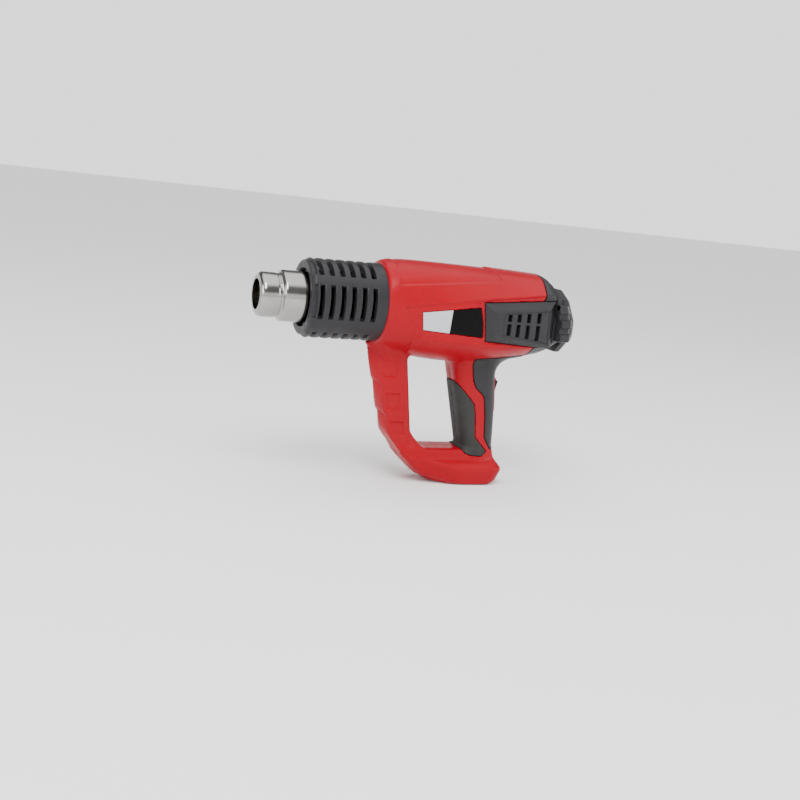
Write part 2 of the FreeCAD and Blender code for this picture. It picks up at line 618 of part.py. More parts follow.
def make_housing(side, sign):
    body = new_body("housing_" + side)
    back = sign > 0
    loft(body, "AdditiveLoft", barrel_sketches(body, stations(ZERO), sign))
    add_handle(body, back)
    inner = stations(d.Wall)
    inner[0] = (d.NoseX + 1, inner[0][1])
    inner[-1] = (d.JointX - 1, inner[-1][1])
    loft(body, "SubtractiveLoft", barrel_sketches(body, inner, sign))
    hollow_handle(body, back)
    cut_side_openings(body, sign, back)
    add_screw_bosses(body, sign, back)


def make_housing_screws():
    """The seven screws that clamp the two shells, all in one node."""
    body = new_body("housing_screws")
    for name in HOUSING_SCREWS:
        x, z, seat = screw_place(name)
        shank = circle(sketch_on(body, "XZ_Plane", -d.ScrewReach), x, z, d.ScrewRadius)
        extrude(body, "Pad", shank, seat + d.ScrewReach + 0.5)
        head = circle(sketch_on(body, "XZ_Plane", seat + 0.05), x, z, d.ScrewHeadRadius)
        extrude(body, "Pad", head, d.ScrewHead)
        for wide, tall in ((d.CrossLong, d.CrossWide), (d.CrossWide, d.CrossLong)):
            cross = sketch_on(body, "XZ_Plane", seat + d.ScrewHead + 0.05)
            rectangle(cross, x - wide, z - tall, x + wide, z + tall)
            extrude(body, "Pocket", cross, d.ScrewHead / 2)


# Grip pads, rear grip cover and power switch.

def grip_pad_outline():
    """Side outline of one front pad, from the finger opening back to the red strip."""
    return [(d.OpeningRearTopX - 3.6, d.PadTopZ), (d.PadShoulderX, d.PadShoulderZ),
            (d.PadShoulderX - 3.6, d.PadHeelZ + 12), (d.PadHeelX, d.PadHeelZ),
            (d.PadHeelX + 3.5, d.PadToeZ), (d.OpeningRearX - 5, d.PadToeZ + 0.6),
            (d.OpeningRearX - 1, d.OpeningFloor + 1), (d.OpeningRearX, d.OpeningFloor + 5)]


def make_grip_pads():
    """Soft pads moulded over the front of each shell's grip."""
    for side, sign in SIDES.items():
        pad = new_body("grip_pad_" + side)
        back = sign > 0
        extrude(pad, "Pad", polygon(sketch_on(pad, "XZ_Plane"), grip_pad_outline()), d.GripHalf,
                back=back)
        core = polygon(sketch_on(pad, "XZ_Plane"), grip_outline(d.PadThick, as_size(-6)))
        extrude(pad, "Pocket", core, d.GripHalf - d.PadThick + 0.1, back=not back)
        round_edges(pad, d.PadThick + 3, lambda edge: is_front_corner(edge, sign))


def is_front_corner(edge, sign):
    """True for the long upright edge at a pad's outer front corner."""
    box = edge.BoundBox
    outer = abs(box.YMin - d.GripHalf.value * sign) < 0.01 and box.YLength < 0.01
    return outer and box.ZLength > 40 and box.XMax > d.OpeningRearX.value


def rear_cover_outline():
    return [(d.CoverTopX, d.CoverTopZ), (d.CoverTopX - 0.5, d.CoverTopZ - 7),
            (d.CoverStepX, d.CoverStepZ + 3), (d.CoverLowX + 2, d.CoverStepZ - 6),
            (d.CoverLowX - 2, d.PadHeelZ + 12), (d.PadHeelX - 5, d.PadHeelZ + 1),
            (d.GripRearX - 1.3, d.PadHeelZ - 1), (d.GripRearX - 1.3, d.PadHeelZ + 20),
            (d.GripRearX, d.SwitchZ - 10), (d.GripTopRearX, d.GripTopZ - 14),
            (d.GripTopRearX - 5.5, d.GripTopZ - 2), (d.GripTopRearX - 12, d.GripTopZ + 2.2)]


def make_rear_grip_cover():
    """Dark cover wrapped round the back of the grip, flared where it meets the barrel."""
    body = new_body("rear_grip_cover")
    extrude(body, "Pad", polygon(sketch_on(body, "XZ_Plane"), rear_cover_outline()), d.GripHalf * 2,
            both=True)
    core = polygon(sketch_on(body, "XZ_Plane"), grip_outline(d.PadThick, d.CoverThick))
    extrude(body, "Pocket", core, (d.GripHalf - d.CoverThick) * 2 + 0.2, both=True)
    window = sketch_on(body, "XZ_Plane")
    rectangle(window, d.GripRearX - 6, d.SwitchZ - d.BezelTall / 2 - 0.2, d.GripTopRearX + 8,
              d.SwitchZ + d.BezelTall / 2 + 0.2)
    extrude(body, "Pocket", window, d.BezelWide + 0.4, both=True)
    round_edges(body, as_size(4.2), is_cover_corner)


def is_cover_corner(edge):
    """True for the upright edges at the cover's two outer back corners."""
    box = edge.BoundBox
    outer = abs(abs(box.YMin) - d.GripHalf.value) < 0.01 and box.YLength < 0.01
    return outer and box.ZLength > 12 and box.XMax < d.GripTopRearX.value + 0.1


def make_power_switch():
    """Rocker switch: its body inside the grip, red bezel and the rocker on two pivot pins."""
    half_tall, half_wide = d.SwitchTall / 2, d.SwitchWide / 2
    face = d.PivotX - 1.4
    housing = new_body("switch_body")
    outline = sketch_on(housing, "XZ_Plane")
    rectangle(outline, face, d.SwitchZ - half_tall, face + d.SwitchDeep, d.SwitchZ + half_tall)
    extrude(housing, "Pad", outline, half_wide * 2, both=True)
    hollow = sketch_on(housing, "XZ_Plane")
    rectangle(hollow, face - 1, d.SwitchZ - half_tall + d.SwitchWall,
              face + d.SwitchDeep - d.SwitchWall * 4, d.SwitchZ + half_tall - d.SwitchWall)
    extrude(housing, "Pocket", hollow, d.RockerWide + 1.2, both=True)
    pivots = circle(sketch_on(housing, "XZ_Plane"), d.PivotX + 1, d.SwitchZ, d.PivotRadius + d.PivotPlay)
    extrude(housing, "Pocket", pivots, d.SwitchWide + 2, both=True)
    for z in (d.SwitchZ - 7, d.SwitchZ, d.SwitchZ + 7):
        tab = sketch_on(housing, "XZ_Plane")
        rectangle(tab, face + d.SwitchDeep - 0.5, z - 2, face + d.SwitchDeep + 5.5, z + 2)
        extrude(housing, "Pad", tab, as_size(0.8), both=True)
    make_rocker()
    make_bezel(face)


def make_rocker():
    body = new_body("rocker")
    half = d.RockerTall / 2
    x, z = d.PivotX, d.SwitchZ
    profile = sketch_on(body, "XZ_Plane")
    polygon(profile, [(x - 4.2, z + half), (x - 2.2, z + 1), (x - 1.6, z - half), (x + 3.2, z - half),
                      (x + 5.6, z), (x + 1.4, z + half)])
    extrude(body, "Pad", profile, d.RockerWide, both=True)
    pins = circle(sketch_on(body, "XZ_Plane"), x + 1, z, d.PivotRadius)
    extrude(body, "Pad", pins, d.SwitchWide, both=True)


def make_bezel(face):
    """Red frame round the rocker, sunk in the cover."""
    body = new_body("rocker_bezel")
    plate = sketch_on(body, "YZ_Plane", face - 0.9)
    rectangle(plate, -d.BezelWide / 2, d.SwitchZ - d.BezelTall / 2, d.BezelWide / 2,
              d.SwitchZ + d.BezelTall / 2)
    extrude(body, "Pad", plate, d.BezelThick, back=True)
    hole = sketch_on(body, "YZ_Plane", face)
    rectangle(hole, -d.RockerWide / 2 - 1, d.SwitchZ - d.RockerTall / 2 - 1.4, d.RockerWide / 2 + 1,
              d.SwitchZ + d.RockerTall / 2 + 1.4)
    extrude(body, "Pocket", hole, d.BezelThick + 2)
    round_edges(body, as_size(3), lambda edge: is_bezel_corner(edge, d.BezelWide.value / 2))


def is_bezel_corner(edge, half_width):
    box = edge.BoundBox
    return box.YLength < 0.01 and box.ZLength < 0.01 and abs(abs(box.YMin) - half_width) < 0.01


# Side vents and badges.

def make_vents():
    """Grille cover on each side: bevelled box with four split louvre slots."""
    for side, sign in SIDES.items():
        vent = new_body("vent_" + side, d.AxisHeight)
        back = sign > 0
        start = d.VentIn * -sign
        outer = sketch_on(vent, "XZ_Plane", start)
        polygon(outer, [(d.VentFrontX, d.VentTop - 2.4), (d.VentFrontX - 4, -d.VentBottom + 1.6),
                        (d.VentRearX, -d.VentBottom), (d.VentRearX, d.VentTop + 3)])
        extrude(vent, "Pad", outer, d.VentOut - d.VentIn, back=back)
        round_edges(vent, d.VentBevel, lambda edge: is_vent_rim(edge, sign))
        hollow = sketch_on(vent, "XZ_Plane", start)
        rectangle(hollow, d.VentRearX + d.VentWall + 2, -d.VentBottom + 5, d.VentFrontX - 9,
                  d.VentTop - 5)
        extrude(vent, "Pocket", hollow, d.VentOut - d.VentIn - d.VentWall, back=not back)
        slots = sketch_on(vent, "XZ_Plane", start)
        for i in range(4):
            x = d.FirstLouvreX - d.SlotPitch * i
            middle = (d.LouvreTop - d.LouvreFoot) / 2
            rectangle(slots, x - d.LouvreWide, -d.LouvreFoot, x, middle - d.LouvreRib / 2)
            rectangle(slots, x - d.LouvreWide, middle + d.LouvreRib / 2, x, d.LouvreTop)
        extrude(vent, "Pocket", slots, as_size(20), back=not back)


def is_vent_rim(edge, sign):
    """True for the long upper and lower outside edges of a vent."""
    box = edge.BoundBox
    outer = abs(box.YMin - d.VentOut.value * sign) < 0.01 and box.YLength < 0.01
    return outer and box.XLength > 30


def make_badges():
    """Plain plate in the shallow side panel of each shell."""
    for side, sign in SIDES.items():
        badge = new_body("badge_" + side, d.AxisHeight)
        sketch = sketch_on(badge, "XZ_Plane", (d.MidSide + 0.1) * -sign)
        polygon(sketch, [(d.BadgeFrontX, d.BadgeFrontTop), (d.BadgeFrontX - 1.6, -d.BadgeFrontFoot),
                         (d.BadgeRearX - 3, -d.BadgeRearFoot), (d.BadgeRearX - 1, -4),
                         (d.BadgeRearX, d.BadgeRearTop)])
        extrude(badge, "Pad", sketch, d.BadgeThick, back=sign > 0)


# Rear cover, control panel and keys.

def rear_stations(inset):
    joint = d.JointX - d.CapGap
    return [
        (joint, station(d.JointSide - inset, d.JointFlatTop, d.JointFlatBottom, d.JointTop - inset,
                        d.JointBottom - inset)),
        (d.CapX, station(d.CapSide - inset, d.CapFlatTop, d.CapFlatBottom, d.CapTop - inset,
                         d.CapBottom - inset))]


def make_rear_cover():
    """Dark end cap, drawn in towards the control panel; both halves of it are one node."""
    body = new_body("rear_cover")
    for sign in SIDES.values():
        loft(body, "AdditiveLoft", barrel_sketches(body, rear_stations(ZERO), sign))
    for sign in SIDES.values():
        inner = rear_stations(d.Wall)
        inner[0] = (d.JointX + 1, inner[0][1])
        inner[1] = (d.CapX - 1, inner[1][1])
        loft(body, "SubtractiveLoft", barrel_sketches(body, inner, sign))


def panel_outline(inset=0):
    half, corner = d.PanelHalf - inset, d.PanelCorner - inset
    top, foot = d.PanelTop - inset, d.PanelFoot - inset
    upper = [(half, d.PanelShoulder), (corner, top), (-corner, top), (-half, d.PanelShoulder)]
    lower = [(-half, -d.WingFoot - 2), (-d.PanelFootCorner, -foot + 2), (-d.PanelFootCorner / 2, -foot),
             (d.PanelFootCorner / 2, -foot), (d.PanelFootCorner, -foot + 2), (half, -d.WingFoot - 2)]
    return upper + lower


def keys_outline(grow=0):
    wide, tall = d.KeysHalfWide + grow, d.KeysHalfTall + grow
    bulge = tall + d.KeysBulge
    z = d.KeysZ
    return [(wide, z), (wide * 0.58, z + tall), (ZERO, z + bulge), (-wide * 0.58, z + tall), (-wide, z),
            (-wide * 0.58, z - tall), (ZERO, z - bulge), (wide * 0.58, z - tall)]


def make_control_panel():
    """Rear panel: face with display window and key opening, and a ribbed wing on each side."""
    body = new_body("control_panel", d.AxisHeight)
    rear = d.PanelX
    front = rear + d.PanelDeep
    extrude(body, "Pad", polygon(sketch_on(body, "YZ_Plane", front), panel_outline()), d.PanelDeep,
            back=True)
    for sign in (1, -1):
        web = sketch_on(body, "YZ_Plane", d.WingRearX)
        rectangle(web, (d.PanelHalf - 5) * sign, -d.WingFoot, d.WingHalf * sign, d.WingTop)
        extrude(body, "Pad", web, d.PanelX + d.PanelDeep - d.WingRearX)
        wing = sketch_on(body, "YZ_Plane", d.WingRearX)
        rectangle(wing, d.WingInner * sign, -d.WingFoot, d.WingHalf * sign, d.WingTop)
        extrude(body, "Pad", wing, d.WingDeep)
        for i in range(3):
            top = d.WingTop - 1 - d.RibPitch * i
            rib = sketch_on(body, "YZ_Plane", d.WingRearX - 1.5)
            rectangle(rib, d.WingInner * sign, top - d.RibTall, d.WingRibHalf * sign, top)
            extrude(body, "Pad", rib, d.WingDeep)
    hollow = sketch_on(body, "YZ_Plane", front + 1)
    polygon(hollow, panel_outline(d.PanelWall))
    extrude(body, "Pocket", hollow, d.PanelDeep - d.PanelWall + 1)
    cut_panel_windows(body, rear)


def cut_panel_windows(body, rear):
    recess = sketch_on(body, "YZ_Plane", rear - 1)
    rectangle(recess, -d.WindowWide / 2, d.WindowZ - d.WindowTall / 2, d.WindowWide / 2,
              d.WindowZ + d.WindowTall / 2)
    extrude(body, "Pocket", recess, d.WindowRecess + 1, back=True)
    glass = sketch_on(body, "YZ_Plane", rear - 1)
    rectangle(glass, -d.GlassWide / 2, d.WindowZ - d.GlassTall / 2, d.GlassWide / 2,
              d.WindowZ + d.GlassTall / 2)
    extrude(body, "Pocket", glass, d.PanelDeep, back=True)
    keys = polygon(sketch_on(body, "YZ_Plane", rear - 1), keys_outline(d.KeyGap))
    extrude(body, "Pocket", keys, d.PanelDeep, back=True)


def make_display():
    """Display window, the display module behind it and the circuit board that carries it."""
    rear = d.PanelX + d.WindowRecess
    window = new_body("display_window", d.AxisHeight)
    sketch = sketch_on(window, "YZ_Plane", rear - 0.6)
    rectangle(sketch, -d.GlassWide / 2 + 0.1, d.WindowZ - d.GlassTall / 2 + 0.1, d.GlassWide / 2 - 0.1,
              d.WindowZ + d.GlassTall / 2 - 0.1)
    extrude(window, "Pad", sketch, d.GlassThick)
    module = new_body("display_module", d.AxisHeight)
    sketch = sketch_on(module, "YZ_Plane", rear + 1.2)
    rectangle(sketch, -d.GlassWide / 2 - 2, d.WindowZ - d.GlassTall / 2 - 1, d.GlassWide / 2 + 2,
              d.WindowZ + d.GlassTall / 2 + 1)
    extrude(module, "Pad", sketch, d.ModuleThick)
    board = new_body("display_board", d.AxisHeight)
    sketch = sketch_on(board, "YZ_Plane", d.PanelX + d.PanelDeep + 1.4)
    rectangle(sketch, -d.BoardHalf, -d.BoardHalf * 0.85, d.BoardHalf, d.BoardHalf * 0.7)
    extrude(board, "Pad", sketch, d.BoardThick)
    mat = new_body("key_mat", d.AxisHeight)
    sketch = polygon(sketch_on(mat, "YZ_Plane", d.PanelX + d.KeyTall + 1.5), keys_outline(1.2))
    extrude(mat, "Pad", sketch, d.MatThick)


def make_keys():
    """Four keys that together fill the pointed oval under the display."""
    z, bar = d.KeysZ, d.KeyBar
    wide, tall = d.KeysHalfWide, d.KeysHalfTall
    shoulder = wide * 0.58
    top, gap = tall + d.KeysBulge, d.KeyGap
    upper = [(bar, gap), (shoulder - gap, tall), (ZERO, top), (-shoulder + gap, tall), (-bar, gap)]
    lower = [(y, -height) for y, height in upper]
    left = [(bar + gap * 2, ZERO), (shoulder + gap, tall - gap * 2), (wide, ZERO),
            (shoulder + gap, -tall + gap * 2)]
    right = [(-y, height) for y, height in left]
    for name, corners in (("key_up", upper), ("key_down", lower), ("key_left", left),
                          ("key_right", right)):
        key = new_body(name, d.AxisHeight)
        sketch = sketch_on(key, "YZ_Plane", d.PanelX + d.KeySunk)
        polygon(sketch, [(y, z + height) for y, height in corners])
        extrude(key, "Pad", sketch, d.KeyTall)


# Electronics and the cord inlet.

def make_electronics():
    """Power board behind the display, with its triac on a heat sink, and the capacitor."""
    rear = d.BoardX
    board = new_body("power_board", d.AxisHeight)
    sketch = rectangle(sketch_on(board, "YZ_Plane", rear), -d.BoardHalf, -d.BoardHalf, d.BoardHalf,
                       d.BoardHalf * 0.8)
    extrude(board, "Pad", sketch, d.BoardThick)
    face = rear + d.BoardThick + 0.1
    sink = new_body("heat_sink", d.AxisHeight)
    comb = sketch_on(sink, "YZ_Plane", face)
    rectangle(comb, d.SinkY, -15, d.SinkY + 3, 15)
    extrude(sink, "Pad", comb, d.SinkDeep)
    for i in range(5):
        fin = sketch_on(sink, "YZ_Plane", face)
        low = -14 + 6.6 * i
        rectangle(fin, d.SinkY + 2.5, low, d.SinkY + 9, low + 1.4)
        extrude(sink, "Pad", fin, d.SinkDeep)
    triac = new_body("triac", d.AxisHeight)
    sketch = rectangle(sketch_on(triac, "YZ_Plane", face + 2), d.SinkY - 4.7, -5, d.SinkY - 0.1, 5)
    extrude(triac, "Pad", sketch, d.SinkDeep - 6)
    capacitor = new_body("capacitor", d.AxisHeight)
    sketch = rectangle(sketch_on(capacitor, "YZ_Plane", face), -22, -9, -12, 9)
    extrude(capacitor, "Pad", sketch, as_size(14))
    relay = new_body("transformer", d.AxisHeight)
    sketch = rectangle(sketch_on(relay, "YZ_Plane", face), -8, -22, 5, -11)
    extrude(relay, "Pad", sketch, as_size(12))


def make_cord_inlet():
    """Bush in the base for the supply cord, and the clamp bar that would hold the cord."""
    bush = new_body("cord_inlet_bush")
    plane = sketch_on(bush, "XY_Plane")
    circle(plane, d.InletX, ZERO, d.InletRadius - 1.5)
    extrude(bush, "Pad", plane, d.InletTall)
    collar = circle(sketch_on(bush, "XY_Plane", d.Wall + 0.1), d.InletX, ZERO, d.InletRadius)
    extrude(bush, "Pad", collar, as_size(2))
    bore = circle(sketch_on(bush, "XY_Plane", as_size(-1)), d.InletX, ZERO, d.InletBore)
    extrude(bush, "Pocket", bore, d.InletTall + 2, back=True)
    clamp = new_body("cord_clamp")
    bar = sketch_on(clamp, "XY_Plane", d.InletTall + 3)
    rectangle(bar, d.InletX + 5, -d.ClampLong / 2, d.InletX + 5 + d.ClampThick, d.ClampLong / 2)
    extrude(clamp, "Pad", bar, d.ClampWide)
    screws = new_body("cord_clamp_screws")
    for sign in (1, -1):
        shank = sketch_on(screws, "YZ_Plane", d.InletX + 8.1)
        circle(shank, (d.ClampLong / 2 - 3) * sign, d.InletTall + 3 + d.ClampWide / 2, as_size(2.4))
        extrude(screws, "Pad", shank, as_size(1.6))


MAKERS = [
    make_outlet_tube, make_heat_guard, make_heater, make_motor, make_rotor, make_duct,
    make_motor_bracket, make_grip_pads, make_rear_grip_cover, make_power_switch, make_vents,
    make_badges, make_rear_cover, make_control_panel, make_display, make_keys, make_electronics,
    make_cord_inlet]
for maker in MAKERS:
    maker()
for side_name, side_sign in SIDES.items():
    make_housing(side_name, side_sign)
make_housing_screws()


def check_and_write():
    """Stops on any failed object, then writes one STEP file for each node."""
    doc.recompute()
    for thing in doc.Objects:
        if {"Invalid", "Error"} & set(thing.State):
            raise RuntimeError("%s failed: %s" % (thing.Label, thing.State))
    broken = [part.Label for part in parts if part.Shape.isNull() or not part.Shape.isValid()]
    if broken:
        raise RuntimeError("no valid shape: %s" % ", ".join(broken))
    os.makedirs("parts", exist_ok=True)
    for part in parts:
        part.Shape.exportStep("parts/%s.step" % part.Label)
        box = part.Shape.BoundBox
        print("%-20s %2d solids %9.0f mm3  x %7.1f %7.1f  y %6.1f %6.1f  z %6.1f %6.1f" % (
            part.Label, len(part.Shape.Solids), part.Shape.Volume, box.XMin, box.XMax,
            box.YMin, box.YMax, box.ZMin, box.ZMax))


check_and_write()
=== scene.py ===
import json
import math

import bpy
import numpy as np
from mathutils import Matrix, Vector


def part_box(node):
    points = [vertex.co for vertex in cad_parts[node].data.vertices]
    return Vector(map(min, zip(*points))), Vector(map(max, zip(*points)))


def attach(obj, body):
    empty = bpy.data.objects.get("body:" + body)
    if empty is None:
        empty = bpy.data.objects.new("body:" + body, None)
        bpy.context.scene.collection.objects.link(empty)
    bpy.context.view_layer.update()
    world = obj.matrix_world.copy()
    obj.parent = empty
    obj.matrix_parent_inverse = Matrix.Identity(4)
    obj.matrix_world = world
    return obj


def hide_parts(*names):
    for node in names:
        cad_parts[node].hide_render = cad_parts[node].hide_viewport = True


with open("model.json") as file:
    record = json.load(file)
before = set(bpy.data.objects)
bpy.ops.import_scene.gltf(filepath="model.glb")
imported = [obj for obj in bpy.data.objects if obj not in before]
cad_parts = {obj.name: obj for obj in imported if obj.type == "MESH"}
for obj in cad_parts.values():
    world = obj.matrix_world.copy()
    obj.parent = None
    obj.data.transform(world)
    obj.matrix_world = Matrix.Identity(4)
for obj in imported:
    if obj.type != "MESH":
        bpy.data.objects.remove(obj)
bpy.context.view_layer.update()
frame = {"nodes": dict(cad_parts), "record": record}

# Heat gun: the casing, guard, covers and panel are built here as smooth moulded shells around the
# CAD frame. Every form below is a signed distance in millimetres, negative inside the material.

MM = 0.001


def mm_box(node):
    """Lowest and highest corner of a CAD node in millimetres."""
    low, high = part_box(node)
    return [c / MM for c in low], [c / MM for c in high]


TUBE_LOW, TUBE_HIGH = mm_box("outlet_tube")
BEZEL_LOW, BEZEL_HIGH = mm_box("rocker_bezel")
ROCKER_LOW, ROCKER_HIGH = mm_box("rocker")

AXIS = (TUBE_LOW[2] + TUBE_HIGH[2]) / 2
TIP_X = TUBE_HIGH[0]
GUARD_FRONT = mm_box("heat_guard")[1][0]
PANEL_X = mm_box("control_panel")[0][0]
NOSE_X = 34.3
JOINT_X = mm_box("rear_cover")[1][0] - 0.9
SEAM = 0.35
PARTING = 0.22


# Distance-field tools.

def smooth_min(a, b, blend):
    """Union of two forms with a fillet about as wide as blend."""
    share = np.maximum(blend - np.abs(a - b), 0.0) / blend
    return np.minimum(a, b) - share * share * blend / 4


def smooth_max(a, b, blend):
    """Overlap of two forms with a rounded edge about as wide as blend."""
    return -smooth_min(-a, -b, blend)


def ramp(value, width):
    """Rises smoothly from 0 to 1 as value passes through zero."""
    share = np.clip(value / width + 0.5, 0.0, 1.0)
    return share * share * (3 - 2 * share)


def parabola(x, first, second, third):
    """The quadratic through three (x, value) points."""
    (x0, v0), (x1, v1), (x2, v2) = first, second, third
    part0 = v0 * (x - x1) * (x - x2) / ((x0 - x1) * (x0 - x2))
    part1 = v1 * (x - x0) * (x - x2) / ((x1 - x0) * (x1 - x2))
    part2 = v2 * (x - x0) * (x - x1) / ((x2 - x0) * (x2 - x1))
    return part0 + part1 + part2


def line_through(first, second):
    """A straight line as a function: value against position."""
    slope = (second[1] - first[1]) / (second[0] - first[0])
    return lambda at: first[1] + slope * (at - first[0])


def round_box(u, v, half_u, half_v, corner):
    """Flat rounded rectangle."""
    du = np.abs(u) - (half_u - corner)
    dv = np.abs(v) - (half_v - corner)
    outside = np.hypot(np.maximum(du, 0.0), np.maximum(dv, 0.0))
    return outside + np.minimum(np.maximum(du, dv), 0.0) - corner


def polygon_field(u, v, corners):
    """Exact signed distance to a flat polygon, negative inside."""
    nearest = np.full(np.broadcast(u, v).shape, np.inf)
    inside = np.zeros(nearest.shape, bool)
    count = len(corners)
    for i in range(count):
        (au, av), (bu, bv) = corners[i], corners[(i + 1) % count]
        du, dv = bu - au, bv - av
        share = np.clip(((u - au) * du + (v - av) * dv) / (du * du + dv * dv), 0.0, 1.0)
        gap = np.hypot(u - au - share * du, v - av - share * dv)
        nearest = np.minimum(nearest, gap)
        if av != bv:
            crosses = (av > v) != (bv > v)
            inside ^= crosses & (u < au + (v - av) / (bv - av) * du)
    return np.where(inside, -nearest, nearest)


def lattice_field(form, low, high, step):
    """The form sampled on a regular lattice."""
    axes = [np.arange(a, b + step, step) for a, b in zip(low, high)]
    grid = np.meshgrid(*axes, indexing="ij", sparse=True)
    shape = tuple(len(axis) for axis in axes)
    return np.broadcast_to(form(*grid), shape).astype(np.float32)


CORNERS = [(i, j, k) for i in (0, 1) for j in (0, 1) for k in (0, 1)]
EDGES = [(a, b) for a in CORNERS for b in CORNERS
         if a < b and sum(abs(p - q) for p, q in zip(a, b)) == 1]


def corner_view(array, corner):
    """The lattice shifted so that each cell sees one of its corners."""
    return array[tuple(slice(c, n - 1 + c) for c, n in zip(corner, array.shape))]


def net_points(field, cells, low, step):
    """One vertex in each crossed cell, at the mean of its edge crossings."""
    total = np.zeros((len(cells), 3))
    hits = np.zeros(len(cells))
    for first, second in EDGES:
        a = field[tuple((cells + first).T)]
        b = field[tuple((cells + second).T)]
        crossed = (a < 0) != (b < 0)
        share = np.where(crossed, a / np.where(a == b, 1.0, a - b), 0.0)
        point = np.array(first) + share[:, None] * (np.array(second) - np.array(first))
        total += point * crossed[:, None]
        hits += crossed
    return np.array(low) + (cells + total / hits[:, None]) * step


def net_faces(inside, index):
    """Quads across every lattice edge that the surface crosses."""
    faces = []
    for axis in range(3):
        one, two = [a for a in range(3) if a != axis]
        start = [slice(None)] * 3
        stop = [slice(None)] * 3
        start[axis], stop[axis] = slice(0, -1), slice(1, None)
        a, b = inside[tuple(start)], inside[tuple(stop)]
        at = np.argwhere(a != b)
        keep = (at[:, one] > 0) & (at[:, two] > 0)
        keep &= (at[:, one] < inside.shape[one] - 1) & (at[:, two] < inside.shape[two] - 1)
        at = at[keep]
        ring = []
        for step_one, step_two in ((-1, -1), (0, -1), (0, 0), (-1, 0)):
            cell = at.copy()
            cell[:, one] += step_one
            cell[:, two] += step_two
            ring.append(index[tuple(cell.T)])
        quads = np.stack(ring, 1)
        outward = a[tuple(at.T)]
        if axis == 1:
            outward = ~outward
        quads[~outward] = quads[~outward][:, ::-1]
        faces.append(quads)
    return np.concatenate(faces)


def slope_of(form, points, reach):
    """Central-difference gradient of the form at scattered points."""
    columns = []
    for axis in range(3):
        ahead, behind = points.copy(), points.copy()
        ahead[:, axis] += reach
        behind[:, axis] -= reach
        columns.append((form(*ahead.T) - form(*behind.T)) / (2 * reach))
    return np.stack(columns, 1)


def settle_on(form, points, step, rounds=2):
    """Moves points onto the zero surface, at most half a lattice step each round."""
    for _ in range(rounds):
        value = form(*points.T)
        slope = slope_of(form, points, step * 0.15)
        size = np.maximum((slope * slope).sum(1), 0.05)
        move = -(value / size)[:, None] * slope
        length = np.maximum(np.linalg.norm(move, axis=1), 1e-9)
        points = points + move * np.minimum(1.0, step * 0.5 / length)[:, None]
    return points


def mesh_from_form(name, form, low, high, step, keep=1.0):
    """Meshes a form's surface, thins flat areas to the given share, and smooths its shading."""
    field = lattice_field(form, low, high, step)
    inside = field < 0
    views = [corner_view(inside, corner) for corner in CORNERS]
    crossed = np.logical_or.reduce(views) & ~np.logical_and.reduce(views)
    cells = np.argwhere(crossed)
    index = np.full(crossed.shape, -1, np.int64)
    index[tuple(cells.T)] = np.arange(len(cells))
    points = net_points(field, cells, low, step)
    quads = net_faces(inside, index)
    points = settle_on(form, points, step)
    mesh = bpy.data.meshes.new(name)
    mesh.from_pydata((points * MM).tolist(), [], quads.tolist())
    obj = bpy.data.objects.new(name, mesh)
    bpy.context.collection.objects.link(obj)
    if keep < 1.0:
        thin_out(obj, keep)
        settle_mesh(obj, form, step)
    obj.data.shade_smooth()
    set_form_normals(obj, form, step)
    return obj


def mesh_points(mesh):
    """A mesh's corners in millimetres."""
    flat = np.empty(len(mesh.vertices) * 3)
    mesh.vertices.foreach_get("co", flat)
    return flat.reshape(-1, 3) / MM


def thin_out(obj, keep):
    """Collapses a mesh to the given share of its triangles."""
    modifier = obj.modifiers.new("thin", "DECIMATE")
    modifier.ratio = keep
    graph = bpy.context.evaluated_depsgraph_get()
    thinned = bpy.data.meshes.new_from_object(obj.evaluated_get(graph))
    obj.modifiers.clear()
    old = obj.data
    obj.data = thinned
    bpy.data.meshes.remove(old)


def settle_mesh(obj, form, step):
    """Moves a thinned mesh's corners back onto the form."""
    points = settle_on(form, mesh_points(obj.data), step, rounds=1)
    obj.data.vertices.foreach_set("co", (points * MM).ravel())
    obj.data.update()


def set_form_normals(obj, form, step):
    """Shades each vertex by the form's own slope, so that broad surfaces read as one sweep."""
    slope = slope_of(form, mesh_points(obj.data), step * 0.35)
    length = np.maximum(np.linalg.norm(slope, axis=1), 1e-9)
    obj.data.normals_split_custom_set_from_vertices((slope / length[:, None]).tolist())


# The master form of the casing: barrel, strut, grip and base run into each other. Lines along the
# barrel are given as (x, value) points, and those of the handle as functions of z.

TOP_LINE = ((10, 37.0), (-45, 36.2), (-103, 33.9))
CROWN_RADIUS = ((22.5, 35.2), (-24.5, 39.2), (-92.5, 59.0))
FACET_ANGLE = ((22.5, 13.7), (-24.5, 31.9), (-92.5, 50.7))
FACET_OFFSET = ((22.5, 34.3), (-24.5, 36.6), (-92.5, 38.0))
SIDE_LINE = ((22.5, 36.3), (-24.5, 38.2), (-92.5, 38.0))
FOOT_LINE = ((22.5, 37.0), (-24.5, 43.4), (-103, 34.8))
FOOT_RADIUS = ((22.5, 36.8), (-24.5, 45.0), (-92.5, 54.6))
NOSE_LINE = ((34.3, 33.0), (27, 35.7), (20, 37.6))
FACET_EDGE = line_through((22.3, 17.4), (-57, 25.0))
STEP_X = -57.0
SIDE_PANEL = [(22, 1.1), (8.2, -21.6), (-120, -24.6), (-120, 21.6), (-93.3, 17.4), (-46.9, 11.5),
              (-12.4, 6.5)]


def radius_of(y, v):
    return np.hypot(y, v)


def arch(side, v, centre, radius):
    """Round above its centre and straight-sided below it."""
    return np.where(v > centre, np.hypot(side, v - centre), side) - radius


